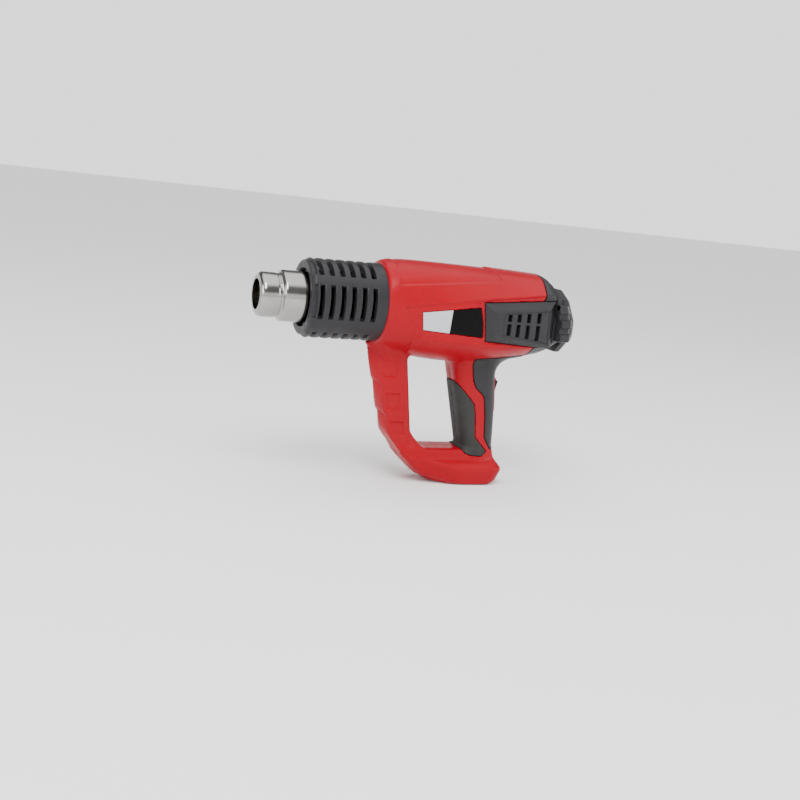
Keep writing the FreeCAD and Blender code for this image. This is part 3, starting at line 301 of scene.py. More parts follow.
def barrel_skin(x, side, v):
    """Outer shape of the barrel before its shallow steps."""
    crown = parabola(x, *CROWN_RADIUS)
    foot = parabola(x, *FOOT_RADIUS)
    angle = np.radians(parabola(x, *FACET_ANGLE))
    upper = arch(side, v, parabola(x, *TOP_LINE) - crown, crown)
    lower = arch(side, -v, parabola(x, *FOOT_LINE) - foot, foot)
    facet = side * np.cos(angle) + v * np.sin(angle) - parabola(x, *FACET_OFFSET)
    flank = side - parabola(x, *SIDE_LINE)
    skin = smooth_max(upper, facet, 2.0)
    skin = smooth_max(skin, flank, 1.6)
    skin = smooth_max(skin, lower, 4.0)
    nose = np.where(x > 10, radius_of(side, v) - parabola(x, *NOSE_LINE), -6.0)
    return smooth_max(skin, nose, 3.0)


def barrel_form(x, y, z):
    v = z - AXIS
    side = np.abs(y)
    return barrel_skin(x, side, v) + barrel_relief(x, side, v)


def barrel_relief(x, side, v):
    """Shallow steps in the barrel: sunk top facet and sunk side panel."""
    step_x = STEP_X - 5.2 * (1 - (1 - np.minimum(side / 28, 1.0)) ** 2)
    top = ramp(v - FACET_EDGE(x) - 0.5, 1.2) * ramp(x - step_x, 1.2) * ramp(25 - x, 5)
    panel = ramp(-polygon_field(x, v, SIDE_PANEL), 1.2) * ramp(side - 25, 4)
    return 0.95 * top + 0.95 * panel


KEEL_UPPER = line_through((0, 7.46), (100, 35.96))
KEEL_LOWER = line_through((0, -24.5), (100, 85.5))
CREASE = line_through((0, 5.6), (100, 31.0))
CREASE_FRONT = 26.4
STRUT_INNER = line_through((0, -11.5), (100, 4.0))
GRIP_FRONT = line_through((0, -61.2), (100, -35.9))
GRIP_REAR = line_through((0, -86.4), (100, -74.6))
GRIP_HEEL = -80.8
STRUT_HALF = 12.5
GRIP_HALF = 17.0
OPENING_FLOOR = 29.0
CHEVRONS = (112.0, 85.5, 60.5)
CHEVRON_FADE = 17.0
SIDE_RECESSES = (((13.4, 87.0), (24.6, 87.2), (25.0, 100.4), (14.8, 100.6)),
                 ((8.0, 61.0), (18.6, 61.2), (21.2, 73.0), (9.4, 73.2)),
                 ((1.8, 39.3), (11.0, 39.4), (15.6, 49.8), (3.6, 50.0)))


def strut_form(x, y, z):
    """Front strut: a keeled prow with three overlapping chevron steps."""
    side = np.abs(y)
    keel = smooth_min(KEEL_UPPER(z), KEEL_LOWER(z), 8)
    crease = smooth_min(CREASE(z), CREASE_FRONT + 0 * z, 4)
    deep = np.maximum(keel - crease, 1.2)
    width = STRUT_HALF - 1.5
    prow = ((x - keel) * width + (side - 1.5) * deep) / np.hypot(width, deep)
    along = z + 1.2 * (keel - x)
    for level in CHEVRONS:
        below = level - along
        prow = prow + 1.5 * ramp(below + 0.3, 0.7) * (1 - np.clip(below / CHEVRON_FADE, 0.0, 1.0))
    prow = smooth_max(prow, x - keel, 3.0)
    flank = side - STRUT_HALF
    for corners in SIDE_RECESSES:
        flank = flank + 0.8 * ramp(-polygon_field(x, z, corners), 0.8)
    form = smooth_max(prow, flank, 2.2)
    form = smooth_max(form, STRUT_INNER(z) - x, 6.0)
    return np.maximum(np.maximum(form, z - 124), 4 - z)


def grip_form(x, y, z):
    """Raked grip with a softly rounded section."""
    front = GRIP_FRONT(z)
    rear = smooth_max(GRIP_REAR(z), GRIP_HEEL + 0 * z, 4.0)
    centre = (front + rear) / 2
    form = round_box(x - centre, y, (front - rear) / 2, GRIP_HALF, 11.5)
    return np.maximum(np.maximum(form, 14 - z), z - 124)


BASE_HALF = 24.0
LIP_Z = 12.4
LIP_X = -87.3


def base_form(x, y, z):
    """Sole under the handle, widest part-way up, with the bridge above it."""
    side = np.abs(y)
    tuck = np.maximum(LIP_Z - z, 0.0)
    lean = np.maximum(z - LIP_Z - 2.5, 0.0)
    rear = LIP_X - x + 0.5 * tuck + 0.75 * lean
    flank = side - BASE_HALF + 0.2 * tuck + 0.8 * lean
    toe = (x - KEEL_LOWER(z)) * 0.67
    taper = (x - KEEL_LOWER(z)) * 0.45 + (side - 9) * 0.8
    form = smooth_max(smooth_max(rear, flank, 11.0), smooth_max(toe, taper, 6.0), 4.0)
    form = smooth_max(smooth_max(form, -z, 3.2), z - 18.5, 3.0)
    bridge = smooth_max(side - 15.5, z - OPENING_FLOOR, 5.0)
    bridge = smooth_max(smooth_max(bridge, -80 - x, 3.0), toe, 3.0)
    corner = (z - 38.3) * 0.707 - (x + 6.6) * 0.707
    ends = np.maximum(np.maximum(toe, x - 2), -18 - x)
    wedge = smooth_max(np.maximum(corner, side - 12.5), ends, 2.0)
    bridge = smooth_min(np.maximum(bridge, 8 - z), np.maximum(wedge, 12 - z), 3.0)
    return smooth_min(form, bridge, 9.0)


def casing_form(x, y, z):
    """Barrel, strut, grip and base blended into one skin, with room left for the guard."""
    barrel = smooth_max(barrel_form(x, y, z), x - NOSE_X, 2.4)
    strut = strut_form(x, y, z)
    guard_room = np.maximum(radius_of(y, z - AXIS) - 31.8, 33.6 - x)
    strut = smooth_max(strut, -guard_room, 0.8)
    handle = smooth_min(grip_form(x, y, z), base_form(x, y, z), 3.5)
    handle = smooth_min(strut, handle, 3.0)
    return smooth_min(barrel, handle, 5.0 + 10.0 * ramp(-66 - x, 16))


# Regions of the casing that other pieces take over, as outlines of (x, z) or (x, v).

PAD_REGION = [(-16, 88), (-38.0, 87.2), (-56.0, 67.7), (-58.0, 58.5), (-59.6, 45.5), (-60.6, 39.5),
              (-72.0, 27.9), (-68.0, 23.9), (-59.0, 24.1), (-53.5, 26.0), (-50.5, 29.6), (-49.0, 35),
              (-30, 60)]
COVER_REGION = [(-50.4, 106.2), (-50.9, 99.5), (-53.2, 87.6), (-56.2, 81.4), (-62.2, 76.8),
                (-64.8, 73.5), (-67.3, 58.9), (-68.6, 45.7), (-69.2, 39.7), (-72.4, 34.6),
                (-76.7, 29.4), (-110, 29.4), (-110, 114), (-73.6, 109.5)]
VENT_REGION = [(-44.4, 9.4), (-107.9, 14.8), (-108.1, -24.1), (-48.7, -21.2)]
BADGE_REGION = [(6.6, 142.6), (-41.5, 149.6), (-44.6, 137.5), (-45.6, 126.3), (4.9, 129.0)]
SKIN = 2.6
VENT_SEAT = 34.0
SWITCH_Z = (BEZEL_LOW[2] + BEZEL_HIGH[2]) / 2
BEZEL_HALF_Y = (BEZEL_HIGH[1] - BEZEL_LOW[1]) / 2
BEZEL_HALF_Z = (BEZEL_HIGH[2] - BEZEL_LOW[2]) / 2
BEZEL_REACH = 6.5
ROCKER_HALF_Y = 7.3
ROCKER_HALF_Z = (ROCKER_HIGH[2] - ROCKER_LOW[2]) / 2


ROOM_RADIUS, ROOM_FRONT, ROOM_REAR = 27.0, 24.0, -88.0
CAP_END = PANEL_X + 9.0
JOINT_FORWARD = 10.0
JOINT_LEAN = 0.27


def joint_plane(x, z):
    """Distance in front of the leaning joint between the casing and the rear cap."""
    return x - JOINT_X - JOINT_FORWARD + JOINT_LEAN * np.maximum(z - AXIS, 0)


def bezel_cut(x, y, z, gap):
    """Room for the switch bezel on the back of the grip."""
    window = round_box(y, z - SWITCH_Z, BEZEL_HALF_Y + gap, BEZEL_HALF_Z + gap, 3.0)
    return np.maximum(window, x - BEZEL_HIGH[0] - BEZEL_REACH)


def sunk(form, region, gap, depth):
    """Cuts a shallow pocket with the region's outline, grown by the gap."""
    return np.maximum(form, np.minimum(gap - region, form + depth))


def red_half(x, y, z):
    """Left half of the casing, with pockets for the parts that sit in it."""
    v = z - AXIS
    skin = casing_form(x, y, z)
    form = sunk(skin, polygon_field(x, z, PAD_REGION), SEAM, SKIN)
    form = sunk(form, polygon_field(x, z, COVER_REGION), SEAM, SKIN)
    form = sunk(form, polygon_field(x, z, BADGE_REGION), 0.25, 0.9)
    vent = np.maximum(polygon_field(x, v, VENT_REGION) - SEAM, VENT_SEAT - y)
    form = np.maximum(form, -vent)
    form = np.maximum(form, -bezel_cut(x, y, z, 0.3))
    motor_room = np.maximum(radius_of(y, v) - ROOM_RADIUS, np.maximum(x - ROOM_FRONT, ROOM_REAR - x))
    form = np.maximum(form, -motor_room)
    form = np.maximum(form, SEAM - joint_plane(x, z))
    return smooth_max(form, PARTING / 2 - y, 0.5)


SCREWS = ((25, 111, 12), (-36, 172.5, 13), (-95, 171.5, 12), (12, 62, 10), (-15, 19, 10),
          (-78.5, 12, 18), (-64, 45, 11))
WELL_RADIUS = 3.2


def red_right(x, y, z):
    """Right half of the casing: the left one mirrored, with a well over each housing screw."""
    form = red_half(x, -y, z)
    for screw_x, screw_z, seat in SCREWS:
        well = np.maximum(np.hypot(x - screw_x, z - screw_z) - WELL_RADIUS, y + seat)
        form = smooth_max(form, -well, 0.5)
    return form


def pad_half(x, y, z):
    """Left soft pad on the front of the grip."""
    skin = casing_form(x, y, z)
    region = polygon_field(x, z, PAD_REGION)
    form = smooth_max(skin - 0.35, region, 0.9)
    return smooth_max(np.maximum(form, -skin - SKIN + 0.2), PARTING / 2 - y, 0.4)


def cover_form(x, y, z):
    """Dark cover over the back of the grip, flared under the barrel."""
    skin = casing_form(x, y, z)
    region = polygon_field(x, z, COVER_REGION)
    form = smooth_max(skin - 0.35, region, 0.9)
    form = np.maximum(form, -skin - SKIN + 0.2)
    return smooth_max(form, -bezel_cut(x, y, z, 0.25), 0.6)


def bezel_form(x, y, z):
    """Red frame round the rocker, following the back of the grip."""
    skin = casing_form(x, y, z)
    outer = round_box(y, z - SWITCH_Z, BEZEL_HALF_Y, BEZEL_HALF_Z, 3.0)
    inner = round_box(y, z - SWITCH_Z, ROCKER_HALF_Y + 0.6, ROCKER_HALF_Z + 0.9, 1.0)
    form = smooth_max(skin - 0.7, smooth_max(outer, -inner, 0.5), 0.8)
    return np.maximum(np.maximum(form, -skin - 4.0), x - BEZEL_HIGH[0] - BEZEL_REACH + 0.6)


VENT_OUT = 43.0
VENT_BASE = 37.4
LOUVRE_FIELD = [(-60.6, 2.6), (-102.0, 6.8), (-104.0, -20.4), (-60.6, -15.6)]
LOUVRES = (-66.1, -74.3, -83.0, -92.2)
RIB_V = -4.7


def vent_half(x, y, z):
    """Left vent cover: bevelled plate with a sunk field of louvre slots split by a rib."""
    v = z - AXIS
    edge = polygon_field(x, v, VENT_REGION)
    bevel = edge * 0.64 + (y - VENT_BASE) * 0.77
    form = smooth_max(y - VENT_OUT, bevel, 1.4)
    form = smooth_max(form, edge, 0.6)
    field = polygon_field(x, v, LOUVRE_FIELD)
    form = form + 1.2 * ramp(-field, 1.2) * ramp(y - 38, 2)
    for louvre in LOUVRES:
        slot = np.maximum(np.abs(x - louvre) - 1.7, 1.0 - np.abs(v - RIB_V))
        slot = np.maximum(np.maximum(slot, field + 1.3), 36.4 - y)
        form = smooth_max(form, -slot, 0.6)
    return np.maximum(form, VENT_SEAT + 0.4 - y)


def badge_half(x, y, z):
    """Left badge plate, following the barrel's side."""
    skin = casing_form(x, y, z)
    form = smooth_max(skin - 0.3, polygon_field(x, z, BADGE_REGION), 0.4)
    return np.maximum(form, -skin - 0.8)




def cap_form(x, y, z):
    """Dark cap that narrows from the barrel's end to the control panel."""
    v = z - AXIS
    share = np.clip((JOINT_X - x) / (JOINT_X - CAP_END), 0.0, 1.3)
    wide = 1 - 0.13 * share ** 1.6
    tall = 1 - 0.30 * share ** 1.5
    form = barrel_skin(np.maximum(x, JOINT_X), np.abs(y) / wide, v / tall) * 0.8
    form = smooth_max(form, joint_plane(x, z) + SEAM, 0.6)
    vent = np.maximum(polygon_field(x, v, VENT_REGION) - SEAM, VENT_SEAT - np.abs(y))
    form = np.maximum(form, -vent)
    form = smooth_max(form, CAP_END - x + lean_of(v), 1.6)
    groove = np.maximum(np.abs(x - JOINT_X + 5.0) - 0.5, -form - 0.8)
    return smooth_max(form, -groove, 0.4)


MOUTH_X = GUARD_FRONT - 3.2
SLOT_XS = [GUARD_FRONT - 10.9 - 8.5 * i for i in range(6)]
RING_OUT = 31.0
SHELL_IN = 24.8
MOUTH_IN = 22.6
SPARS = ((33.0, 8.0), (-38.5, 13.5))


def guard_form(x, y, z):
    """Heat guard: rings on four spars behind a coned mouth flange."""
    v = z - AXIS
    radius = radius_of(y, v)
    angle = np.degrees(np.arctan2(v, np.abs(y)))
    spar = np.inf
    for centre, half in SPARS:
        spar = np.minimum(spar, (np.abs(angle - centre) - half) * radius * math.radians(1))
    outer = smooth_max(radius - RING_OUT, (radius - 28.6) * 0.66 + (x - MOUTH_X) * 0.75, 1.0)
    bore = np.where(x > MOUTH_X - 5.2, MOUTH_IN, SHELL_IN)
    form = smooth_max(outer, bore - radius, 0.8)
    form = smooth_max(smooth_max(form, x - MOUTH_X, 1.0), 30 - x, 0.5)
    for centre in SLOT_XS:
        row = np.abs(x - centre) - 1.75
        form = smooth_max(form, -np.maximum(row, -spar), 1.2)
    blind = np.maximum(np.maximum(np.abs(x - (SLOT_XS[0] + 5.2)) - 1.4, 29.2 - radius), -spar)
    return smooth_max(form, -blind, 0.9)


PANEL_OUTLINE = [(-25, 24), (25, 24), (33, 16), (33, -14), (17, -29), (-17, -29), (-33, -14), (-33, 16)]
PANEL_DEEP = 8.0
WINDOW_V = 10.5
KEYS_V = -13.0
WING_RIBS = (8.8, -2.6, -14.0)
WING_MIDDLE = -2.5
WING_HALF_V = 15.2


def keys_oval(y, v, grow):
    """Pointed oval that the four keys fill, seen from behind."""
    side, tall = np.abs(y), np.abs(v - KEYS_V)
    bow = np.hypot(side, tall + 7.6) - 19.1
    return smooth_max(bow, side - 17.6, 1.5) - grow


BEND = 0.42
BEND_V = -1.0


def lean_of(v):
    """How far the panel leans forward at height v: upright at the keys, tilted at the display."""
    return BEND * (smooth_max(v - BEND_V, 0 * v, 2.0))


def panel_form(x, y, z):
    """Control panel: bevelled face with display crater and key pocket, and a ribbed wing each side."""
    v = z - AXIS
    x = x - lean_of(v)
    edge = polygon_field(y, v, PANEL_OUTLINE)
    back = PANEL_X - x
    form = smooth_max(smooth_max(edge, back, 1.0), (edge + back + 2.8) * 0.707, 1.2)
    form = smooth_max(form, x - PANEL_X - PANEL_DEEP, 0.8)
    form = smooth_min(form, wing_form(x, np.abs(y), v), 1.6)
    crater = round_box(y, v - WINDOW_V, 24.5, 10.6, 3.5)
    crater = np.maximum(crater - back * 0.9, -back - 1.7)
    form = smooth_max(form, -crater, 0.7)
    glass = round_box(y, v - WINDOW_V, 14.5, 9.0, 1.2)
    form = smooth_max(form, -np.maximum(glass, -back - PANEL_DEEP - 3), 0.4)
    pocket = np.maximum(keys_oval(y, v, 0.45), -back - PANEL_DEEP - 3)
    return smooth_max(form, -pocket, 0.4)


def wing_form(x, side, v):
    """Swept side wing with three rib blocks and two notches."""
    tall = np.abs(v - WING_MIDDLE)
    notch = np.inf
    for rib in WING_RIBS:
        notch = np.minimum(notch, np.abs(v - rib) - 3.2)
    notch = ramp(notch - 0.1, 0.8)
    rear = (PANEL_X + 3.2 + (side - 33) * 0.67 - x) * 0.83 + 1.3 * notch * ramp(side - 35, 1.5)
    rear = smooth_max(rear, PANEL_X + 0.8 - x, 0.6)
    inner = np.where(x > PANEL_X + 9.0, 36.0, 25.0) - side
    form = smooth_max(rear, side - 45.8 + 2.4 * notch, 1.4)
    form = smooth_max(smooth_max(form, tall - WING_HALF_V, 2.0), inner, 0.5)
    return smooth_max(form, x + 110.5 + (side - 36) * 0.15, 1.4)


# Turned pieces.

def arc_points(x, radius, size, first, last, count=8):
    """Points (x, radius) on an arc, by angles in degrees measured from +X towards outwards."""
    points = []
    for i in range(count + 1):
        angle = math.radians(first + (last - first) * i / count)
        points.append((x + size * math.cos(angle), radius + size * math.sin(angle)))
    return points


def lathe(name, outline, turns=160):
    """Closed outline of (x, radius) points turned about the barrel axis."""
    angles = np.linspace(0, 2 * math.pi, turns, endpoint=False)
    count = len(outline)
    points = [(x * MM, radius * math.cos(a) * MM, (AXIS + radius * math.sin(a)) * MM)
              for a in angles for x, radius in outline]
    faces = []
    for i in range(turns):
        here, after = i * count, (i + 1) % turns * count
        for j in range(count):
            k = (j + 1) % count
            faces.append((here + j, here + k, after + k, after + j))
    mesh = bpy.data.meshes.new(name)
    mesh.from_pydata(points, [], faces)
    mesh.validate()
    obj = bpy.data.objects.new(name, mesh)
    bpy.context.collection.objects.link(obj)
    mesh.shade_smooth()
    mesh.set_sharp_from_angle(angle=math.radians(38))
    return obj


def tube_profile():
    """Outlet tube: rolled lip, stop groove and the rounded step up to the wider tube."""
    lip, wall, spigot, wide = 4.2, 0.9, 17.4, 20.0
    waist_x, waist, shoulder = 115.2, 16.9, 2.4
    outer = arc_points(TIP_X - lip, spigot - lip, lip, 0, 90, 12)
    outer += arc_points(waist_x + 3.2, spigot - 3.0, 3.0, 90, 118, 5)
    outer += arc_points(waist_x, waist + 1.3, 1.3, -50, -130, 8)
    outer += arc_points(waist_x - 3.6, wide - shoulder, shoulder, 25, 90, 8)
    outer += [(36.0, wide)]
    inner = [(36.0, wide - wall), (waist_x - 3.6, wide - wall), (waist_x, waist - wall)]
    inner += arc_points(TIP_X - lip, spigot - lip, lip - wall, 90, 0, 12)
    return outer + inner + [(TIP_X - wall, 11.8), (TIP_X, 11.8)]


# Small flat marks, drawn as thin boxes that lie against a face.

def boxes(name, extents):
    """One mesh of axis-aligned boxes, each as its low and high corner in millimetres."""
    points, faces = [], []
    for low, high in extents:
        base = len(points)
        corners = [(x * MM, y * MM, z * MM) for x in (low[0], high[0]) for y in (low[1], high[1])
                   for z in (low[2], high[2])]
        points += corners
        faces += [tuple(base + i for i in quad) for quad in
                  ((0, 1, 3, 2), (4, 6, 7, 5), (0, 4, 5, 1), (2, 3, 7, 6), (0, 2, 6, 4), (1, 5, 7, 3))]
    mesh = bpy.data.meshes.new(name)
    mesh.from_pydata(points, [], faces)
    obj = bpy.data.objects.new(name, mesh)
    bpy.context.collection.objects.link(obj)
    return obj


SEGMENTS = {"0": "abcdef", "5": "acdfg"}
DIGIT_WIDE = 3.6
DIGIT_TALL = 8.0
STROKE = 0.8


def digit_bars(character, left, foot):
    """Bars of one seven-segment digit, as (left, foot, width, height) seen from behind."""
    half = DIGIT_TALL / 2
    places = {
        "a": (left, foot + DIGIT_TALL - STROKE, DIGIT_WIDE, STROKE),
        "d": (left, foot, DIGIT_WIDE, STROKE),
        "g": (left, foot + half - STROKE / 2, DIGIT_WIDE, STROKE),
        "f": (left, foot + half, STROKE, half), "e": (left, foot, STROKE, half),
        "b": (left + DIGIT_WIDE - STROKE, foot + half, STROKE, half),
        "c": (left + DIGIT_WIDE - STROKE, foot, STROKE, half)}
    return [places[segment] for segment in SEGMENTS[character]]


def leant(obj):
    """Leans a display piece with the panel around it."""
    points = mesh_points(obj.data)
    points[:, 0] += lean_of(points[:, 2] - AXIS)
    obj.data.vertices.foreach_set("co", (points * MM).ravel())
    obj.data.update()
    return obj


def display_marks(face_x):
    """Digits, unit mark, fan sign and rising airflow bars of the display."""
    foot = AXIS + WINDOW_V - 2.6
    bars = []
    for i, character in enumerate("050"):
        bars += digit_bars(character, -8.6 + 5.2 * i, foot)
    bars += [(7.6, foot + 6.4, 1.2, 1.2), (9.4, foot + 3.2, 0.6, 3.4), (9.4, foot + 3.2, 2.2, 0.6),
             (9.4, foot + 6.0, 2.2, 0.6)]
    for i in range(5):
        bars.append((-1.6 + 2.5 * i, foot - 5.6, 1.6, 1.0 + 0.75 * i))
    bars += [(-9.0, foot - 4.4, 4.4, 0.6), (-7.1, foot - 6.0, 0.6, 3.8), (-7.6, foot - 4.9, 1.6, 1.6)]
    extents = []
    for left, low, wide, tall in bars:
        extents.append(((face_x - 0.06, -left - wide, low), (face_x + 0.02, -left, low + tall)))
    return boxes("display_marks", extents)


# Materials.

def linear(red, green, blue):
    """Linear colour from 0..255 screen values."""
    parts = []
    for value in (red, green, blue):
        share = value / 255
        parts.append(share / 12.92 if share <= 0.04045 else ((share + 0.055) / 1.055) ** 2.4)
    return (*parts, 1.0)


def scaled(colour, factor):
    return tuple(min(c * factor, 1.0) for c in colour[:3]) + (1.0,)


PLASTIC_SPECULAR = 0.24


class Paint:
    """A material being put together from noise, bump and colour nodes."""

    def __init__(self, name, roughness, metallic=0.0):
        self.material = bpy.data.materials.new(name)
        self.material.use_nodes = True
        self.tree = self.material.node_tree
        self.shader = self.tree.nodes["Principled BSDF"]
        self.shader.inputs["Roughness"].default_value = roughness
        self.shader.inputs["Metallic"].default_value = metallic
        self.shader.inputs["Specular IOR Level"].default_value = PLASTIC_SPECULAR
        self.place = self.node("ShaderNodeTexCoord").outputs["Object"]

    def node(self, kind, **settings):
        made = self.tree.nodes.new(kind)
        for key, value in settings.items():
            setattr(made, key, value)
        return made

    def link(self, source, target):
        self.tree.links.new(source, target)

    def noise(self, scale, detail=2.0, stretch=None):
        noise = self.node("ShaderNodeTexNoise")
        noise.inputs["Scale"].default_value = scale
        noise.inputs["Detail"].default_value = detail
        source = self.place
        if stretch:
            mapping = self.node("ShaderNodeMapping")
            mapping.inputs["Scale"].default_value = stretch
            self.link(source, mapping.inputs["Vector"])
            source = mapping.outputs["Vector"]
        self.link(source, noise.inputs["Vector"])
        return noise.outputs["Fac"]

    def ranged(self, source, low, high):
        ranged = self.node("ShaderNodeMapRange")
        ranged.inputs["From Min"].default_value = 0.3
        ranged.inputs["From Max"].default_value = 0.7
        ranged.inputs["To Min"].default_value = low
        ranged.inputs["To Max"].default_value = high
        self.link(source, ranged.inputs["Value"])
        return ranged.outputs["Result"]

    def mix(self, share, first, second):
        """Blend of two colours, each a value or another node's output."""
        mix = self.node("ShaderNodeMix", data_type="RGBA")
        self.link(share, mix.inputs[0])
        for colour, socket in ((first, mix.inputs[6]), (second, mix.inputs[7])):
            if isinstance(colour, tuple):
                socket.default_value = colour
            else:
                self.link(colour, socket)
        return mix.outputs[2]

    def colour(self, source):
        self.link(source, self.shader.inputs["Base Color"])

    def rough(self, source):
        self.link(source, self.shader.inputs["Roughness"])

    def bump(self, height, strength, depth_mm):
        bump = self.node("ShaderNodeBump")
        bump.inputs["Strength"].default_value = strength
        bump.inputs["Distance"].default_value = depth_mm * MM
        self.link(height, bump.inputs["Height"])
        self.link(bump.outputs["Normal"], self.shader.inputs["Normal"])

    def axis(self, name):
        split = self.node("ShaderNodeSeparateXYZ")
        self.link(self.place, split.inputs["Vector"])
        return split.outputs[name]

    def maths(self, operation, first, second):
        maths = self.node("ShaderNodeMath", operation=operation)
        for value, socket in ((first, maths.inputs[0]), (second, maths.inputs[1])):
            if isinstance(value, (int, float)):
                socket.default_value = value
            else:
                self.link(value, socket)
        return maths.outputs[0]


def moulded(name, colour, roughness, grain, grain_mm, depth_mm, mottle, specular=PLASTIC_SPECULAR):
    """Moulded plastic: fine surface grain, slight tone drift and uneven gloss."""
    paint = Paint(name, roughness)
    drift = paint.noise(28)
    paint.colour(paint.mix(paint.ranged(drift, 0.0, 1.0), scaled(colour, 1 - mottle),
                           scaled(colour, 1 + mottle)))
    paint.rough(paint.ranged(paint.noise(190, 3), roughness - 0.05, roughness + 0.06))
    paint.bump(paint.noise(1000 / grain_mm, 2), grain, depth_mm)
    paint.shader.inputs["Specular IOR Level"].default_value = specular
    return paint.material


def steel_with_guard_shade():
    """Bright spun steel, with painted shade where the tube runs inside the guard: that part is coloured
    near black.
    """
    paint = Paint("stainless_steel", 0.2, 1.0)
    marks = paint.noise(1.0, 3, (1500.0, 60.0, 60.0))
    # painted shade: the tube is coloured near black behind the guard's front, where the guard shades it
    guard_shade_mask = paint.maths("LESS_THAN", paint.axis("X"), (GUARD_FRONT - 1) * MM)
    bright = paint.mix(paint.ranged(paint.noise(60), 0.0, 1.0), (0.29, 0.285, 0.275, 1.0),
                       (0.34, 0.335, 0.32, 1.0))
    paint.colour(paint.mix(guard_shade_mask, bright, (0.09, 0.08, 0.075, 1.0)))
    paint.rough(paint.ranged(marks, 0.14, 0.22))
    paint.bump(marks, 0.12, 0.006)
    return paint.material


def metal(name, colour, roughness, stretch, depth_mm=0.02):
    """Metal with fine marks drawn out along one direction."""
    paint = Paint(name, roughness, 1.0)
    marks = paint.noise(1.0, 4, stretch)
    paint.colour(paint.mix(paint.ranged(paint.noise(60), 0.0, 1.0), scaled(colour, 0.92),
                           scaled(colour, 1.05)))
    paint.rough(paint.ranged(marks, roughness - 0.06, roughness + 0.1))
    paint.bump(marks, 0.25, depth_mm)
    return paint.material


def badge_print():
    """Badge plate printed light grey in front and black behind."""
    paint = Paint("badge_print", 0.3)
    paint.shader.inputs["Specular IOR Level"].default_value = 0.1
    lean = paint.maths("MULTIPLY", paint.axis("Z"), -0.053)
    edge = paint.maths("ADD", lean, -0.0099)
    dark = paint.maths("GREATER_THAN", edge, paint.axis("X"))
    tone = paint.mix(paint.ranged(paint.noise(45), 0.0, 1.0), linear(178, 182, 185), linear(186, 190, 192))
    paint.colour(paint.mix(dark, tone, linear(4, 3, 3)))
    paint.rough(paint.ranged(paint.noise(160), 0.24, 0.34))
    paint.bump(paint.noise(900), 0.1, 0.02)
    return paint.material


def ribbed_rubber():
    """Soft pad with fine slanting ribs."""
    paint = Paint("grip_rubber", 0.62)
    lean = paint.maths("MULTIPLY", paint.axis("X"), 0.75)
    along = paint.maths("ADD", paint.axis("Z"), lean)
    wave = paint.maths("SINE", paint.maths("MULTIPLY", along, 2 * math.pi / 0.0021), 0.0)
    paint.colour(paint.mix(paint.ranged(paint.noise(60), 0.0, 1.0), linear(38, 39, 38), linear(46, 47, 46)))
    paint.rough(paint.ranged(paint.noise(240, 3), 0.55, 0.7))
    paint.bump(paint.maths("ADD", wave, paint.noise(1500)), 0.5, 0.12)
    return paint.material


def glass():
    paint = Paint("clear_window", 0.05)
    paint.colour(paint.mix(paint.noise(50), (0.86, 0.88, 0.89, 1.0), (0.9, 0.91, 0.92, 1.0)))
    paint.shader.inputs["Transmission Weight"].default_value = 1.0
    paint.shader.inputs["IOR"].default_value = 1.2
    paint.rough(paint.ranged(paint.noise(200), 0.02, 0.07))
    paint.bump(paint.noise(120), 0.05, 0.02)
    return paint.material


def make_materials():
    """One material for each slot of the record."""
    return {
        "stainless_steel": steel_with_guard_shade(),
        "guard_plastic": moulded("guard_plastic", linear(34, 33, 36), 0.42, 0.3, 0.45, 0.05, 0.1),
        "red_shell": moulded("red_shell", (0.29, 0.001, 0.008, 1.0), 0.33, 0.1, 0.6, 0.02, 0.05, 0.13),
        "dark_plastic": moulded("dark_plastic", linear(36, 36, 38), 0.45, 0.35, 0.5, 0.06, 0.1),
        "grip_rubber": ribbed_rubber(),
        "black_plastic": moulded("black_plastic", linear(20, 20, 22), 0.5, 0.3, 0.5, 0.05, 0.1),
        "key_rubber": moulded("key_rubber", linear(42, 42, 44), 0.55, 0.3, 0.35, 0.05, 0.1),
        "badge_print": badge_print(),
        "mica": moulded("mica", linear(84, 74, 60), 0.6, 0.4, 1.2, 0.08, 0.18),
        "heater_wire": metal("heater_wire", (0.42, 0.40, 0.38, 1.0), 0.45, (400.0, 400.0, 400.0)),
        "bare_steel": metal("bare_steel", (0.56, 0.56, 0.57, 1.0), 0.35, (900.0, 300.0, 300.0)),
        "bronze": metal("bronze", (0.66, 0.43, 0.23, 1.0), 0.4, (700.0, 700.0, 700.0)),
        "clear_window": glass(),
        "display_face": moulded("display_face", linear(120, 119, 125), 0.35, 0.08, 0.8, 0.01, 0.03),
        "circuit_board": moulded("circuit_board", (0.05, 0.26, 0.12, 1.0), 0.4, 0.3, 0.7, 0.05, 0.12),
        "heat_sink_metal": metal("heat_sink_metal", (0.72, 0.73, 0.74, 1.0), 0.35, (60.0, 900.0, 900.0)),
        "capacitor_case": moulded("capacitor_case", (0.55, 0.42, 0.12, 1.0), 0.35, 0.2, 0.8, 0.04, 0.08),
    }


# Putting the pieces in place.

MATERIALS = make_materials()
RED_LOW, RED_HIGH = (-104.0, -0.8, -1.2), (44.0, 40.0, 183.0)
RED_RIGHT_LOW, RED_RIGHT_HIGH = (-104.0, -40.0, -1.2), (44.0, 0.8, 183.0)


def place(obj, slot_name, nodes):
    """Gives a fixed piece the material of its slot, hangs it on the root body and hides the CAD nodes it
    stands for.
    """
    obj.data.materials.clear()
    obj.data.materials.append(MATERIALS[slot_name])
    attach(obj, "root")
    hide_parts(*nodes)
    return obj


def mirrored(obj, name):
    """The same piece on the gun's right side."""
    source = obj.data
    points = mesh_points(source) * (MM, -MM, MM)
    faces = [tuple(reversed(polygon.vertices)) for polygon in source.polygons]
    mesh = bpy.data.meshes.new(name)
    mesh.from_pydata(points.tolist(), [], faces)
    twin = bpy.data.objects.new(name, mesh)
    bpy.context.collection.objects.link(twin)
    mesh.shade_smooth()
    return twin


def flip(form):
    """The form seen in the mirror of the gun's middle plane."""
    return lambda x, y, z: form(x, -y, z)


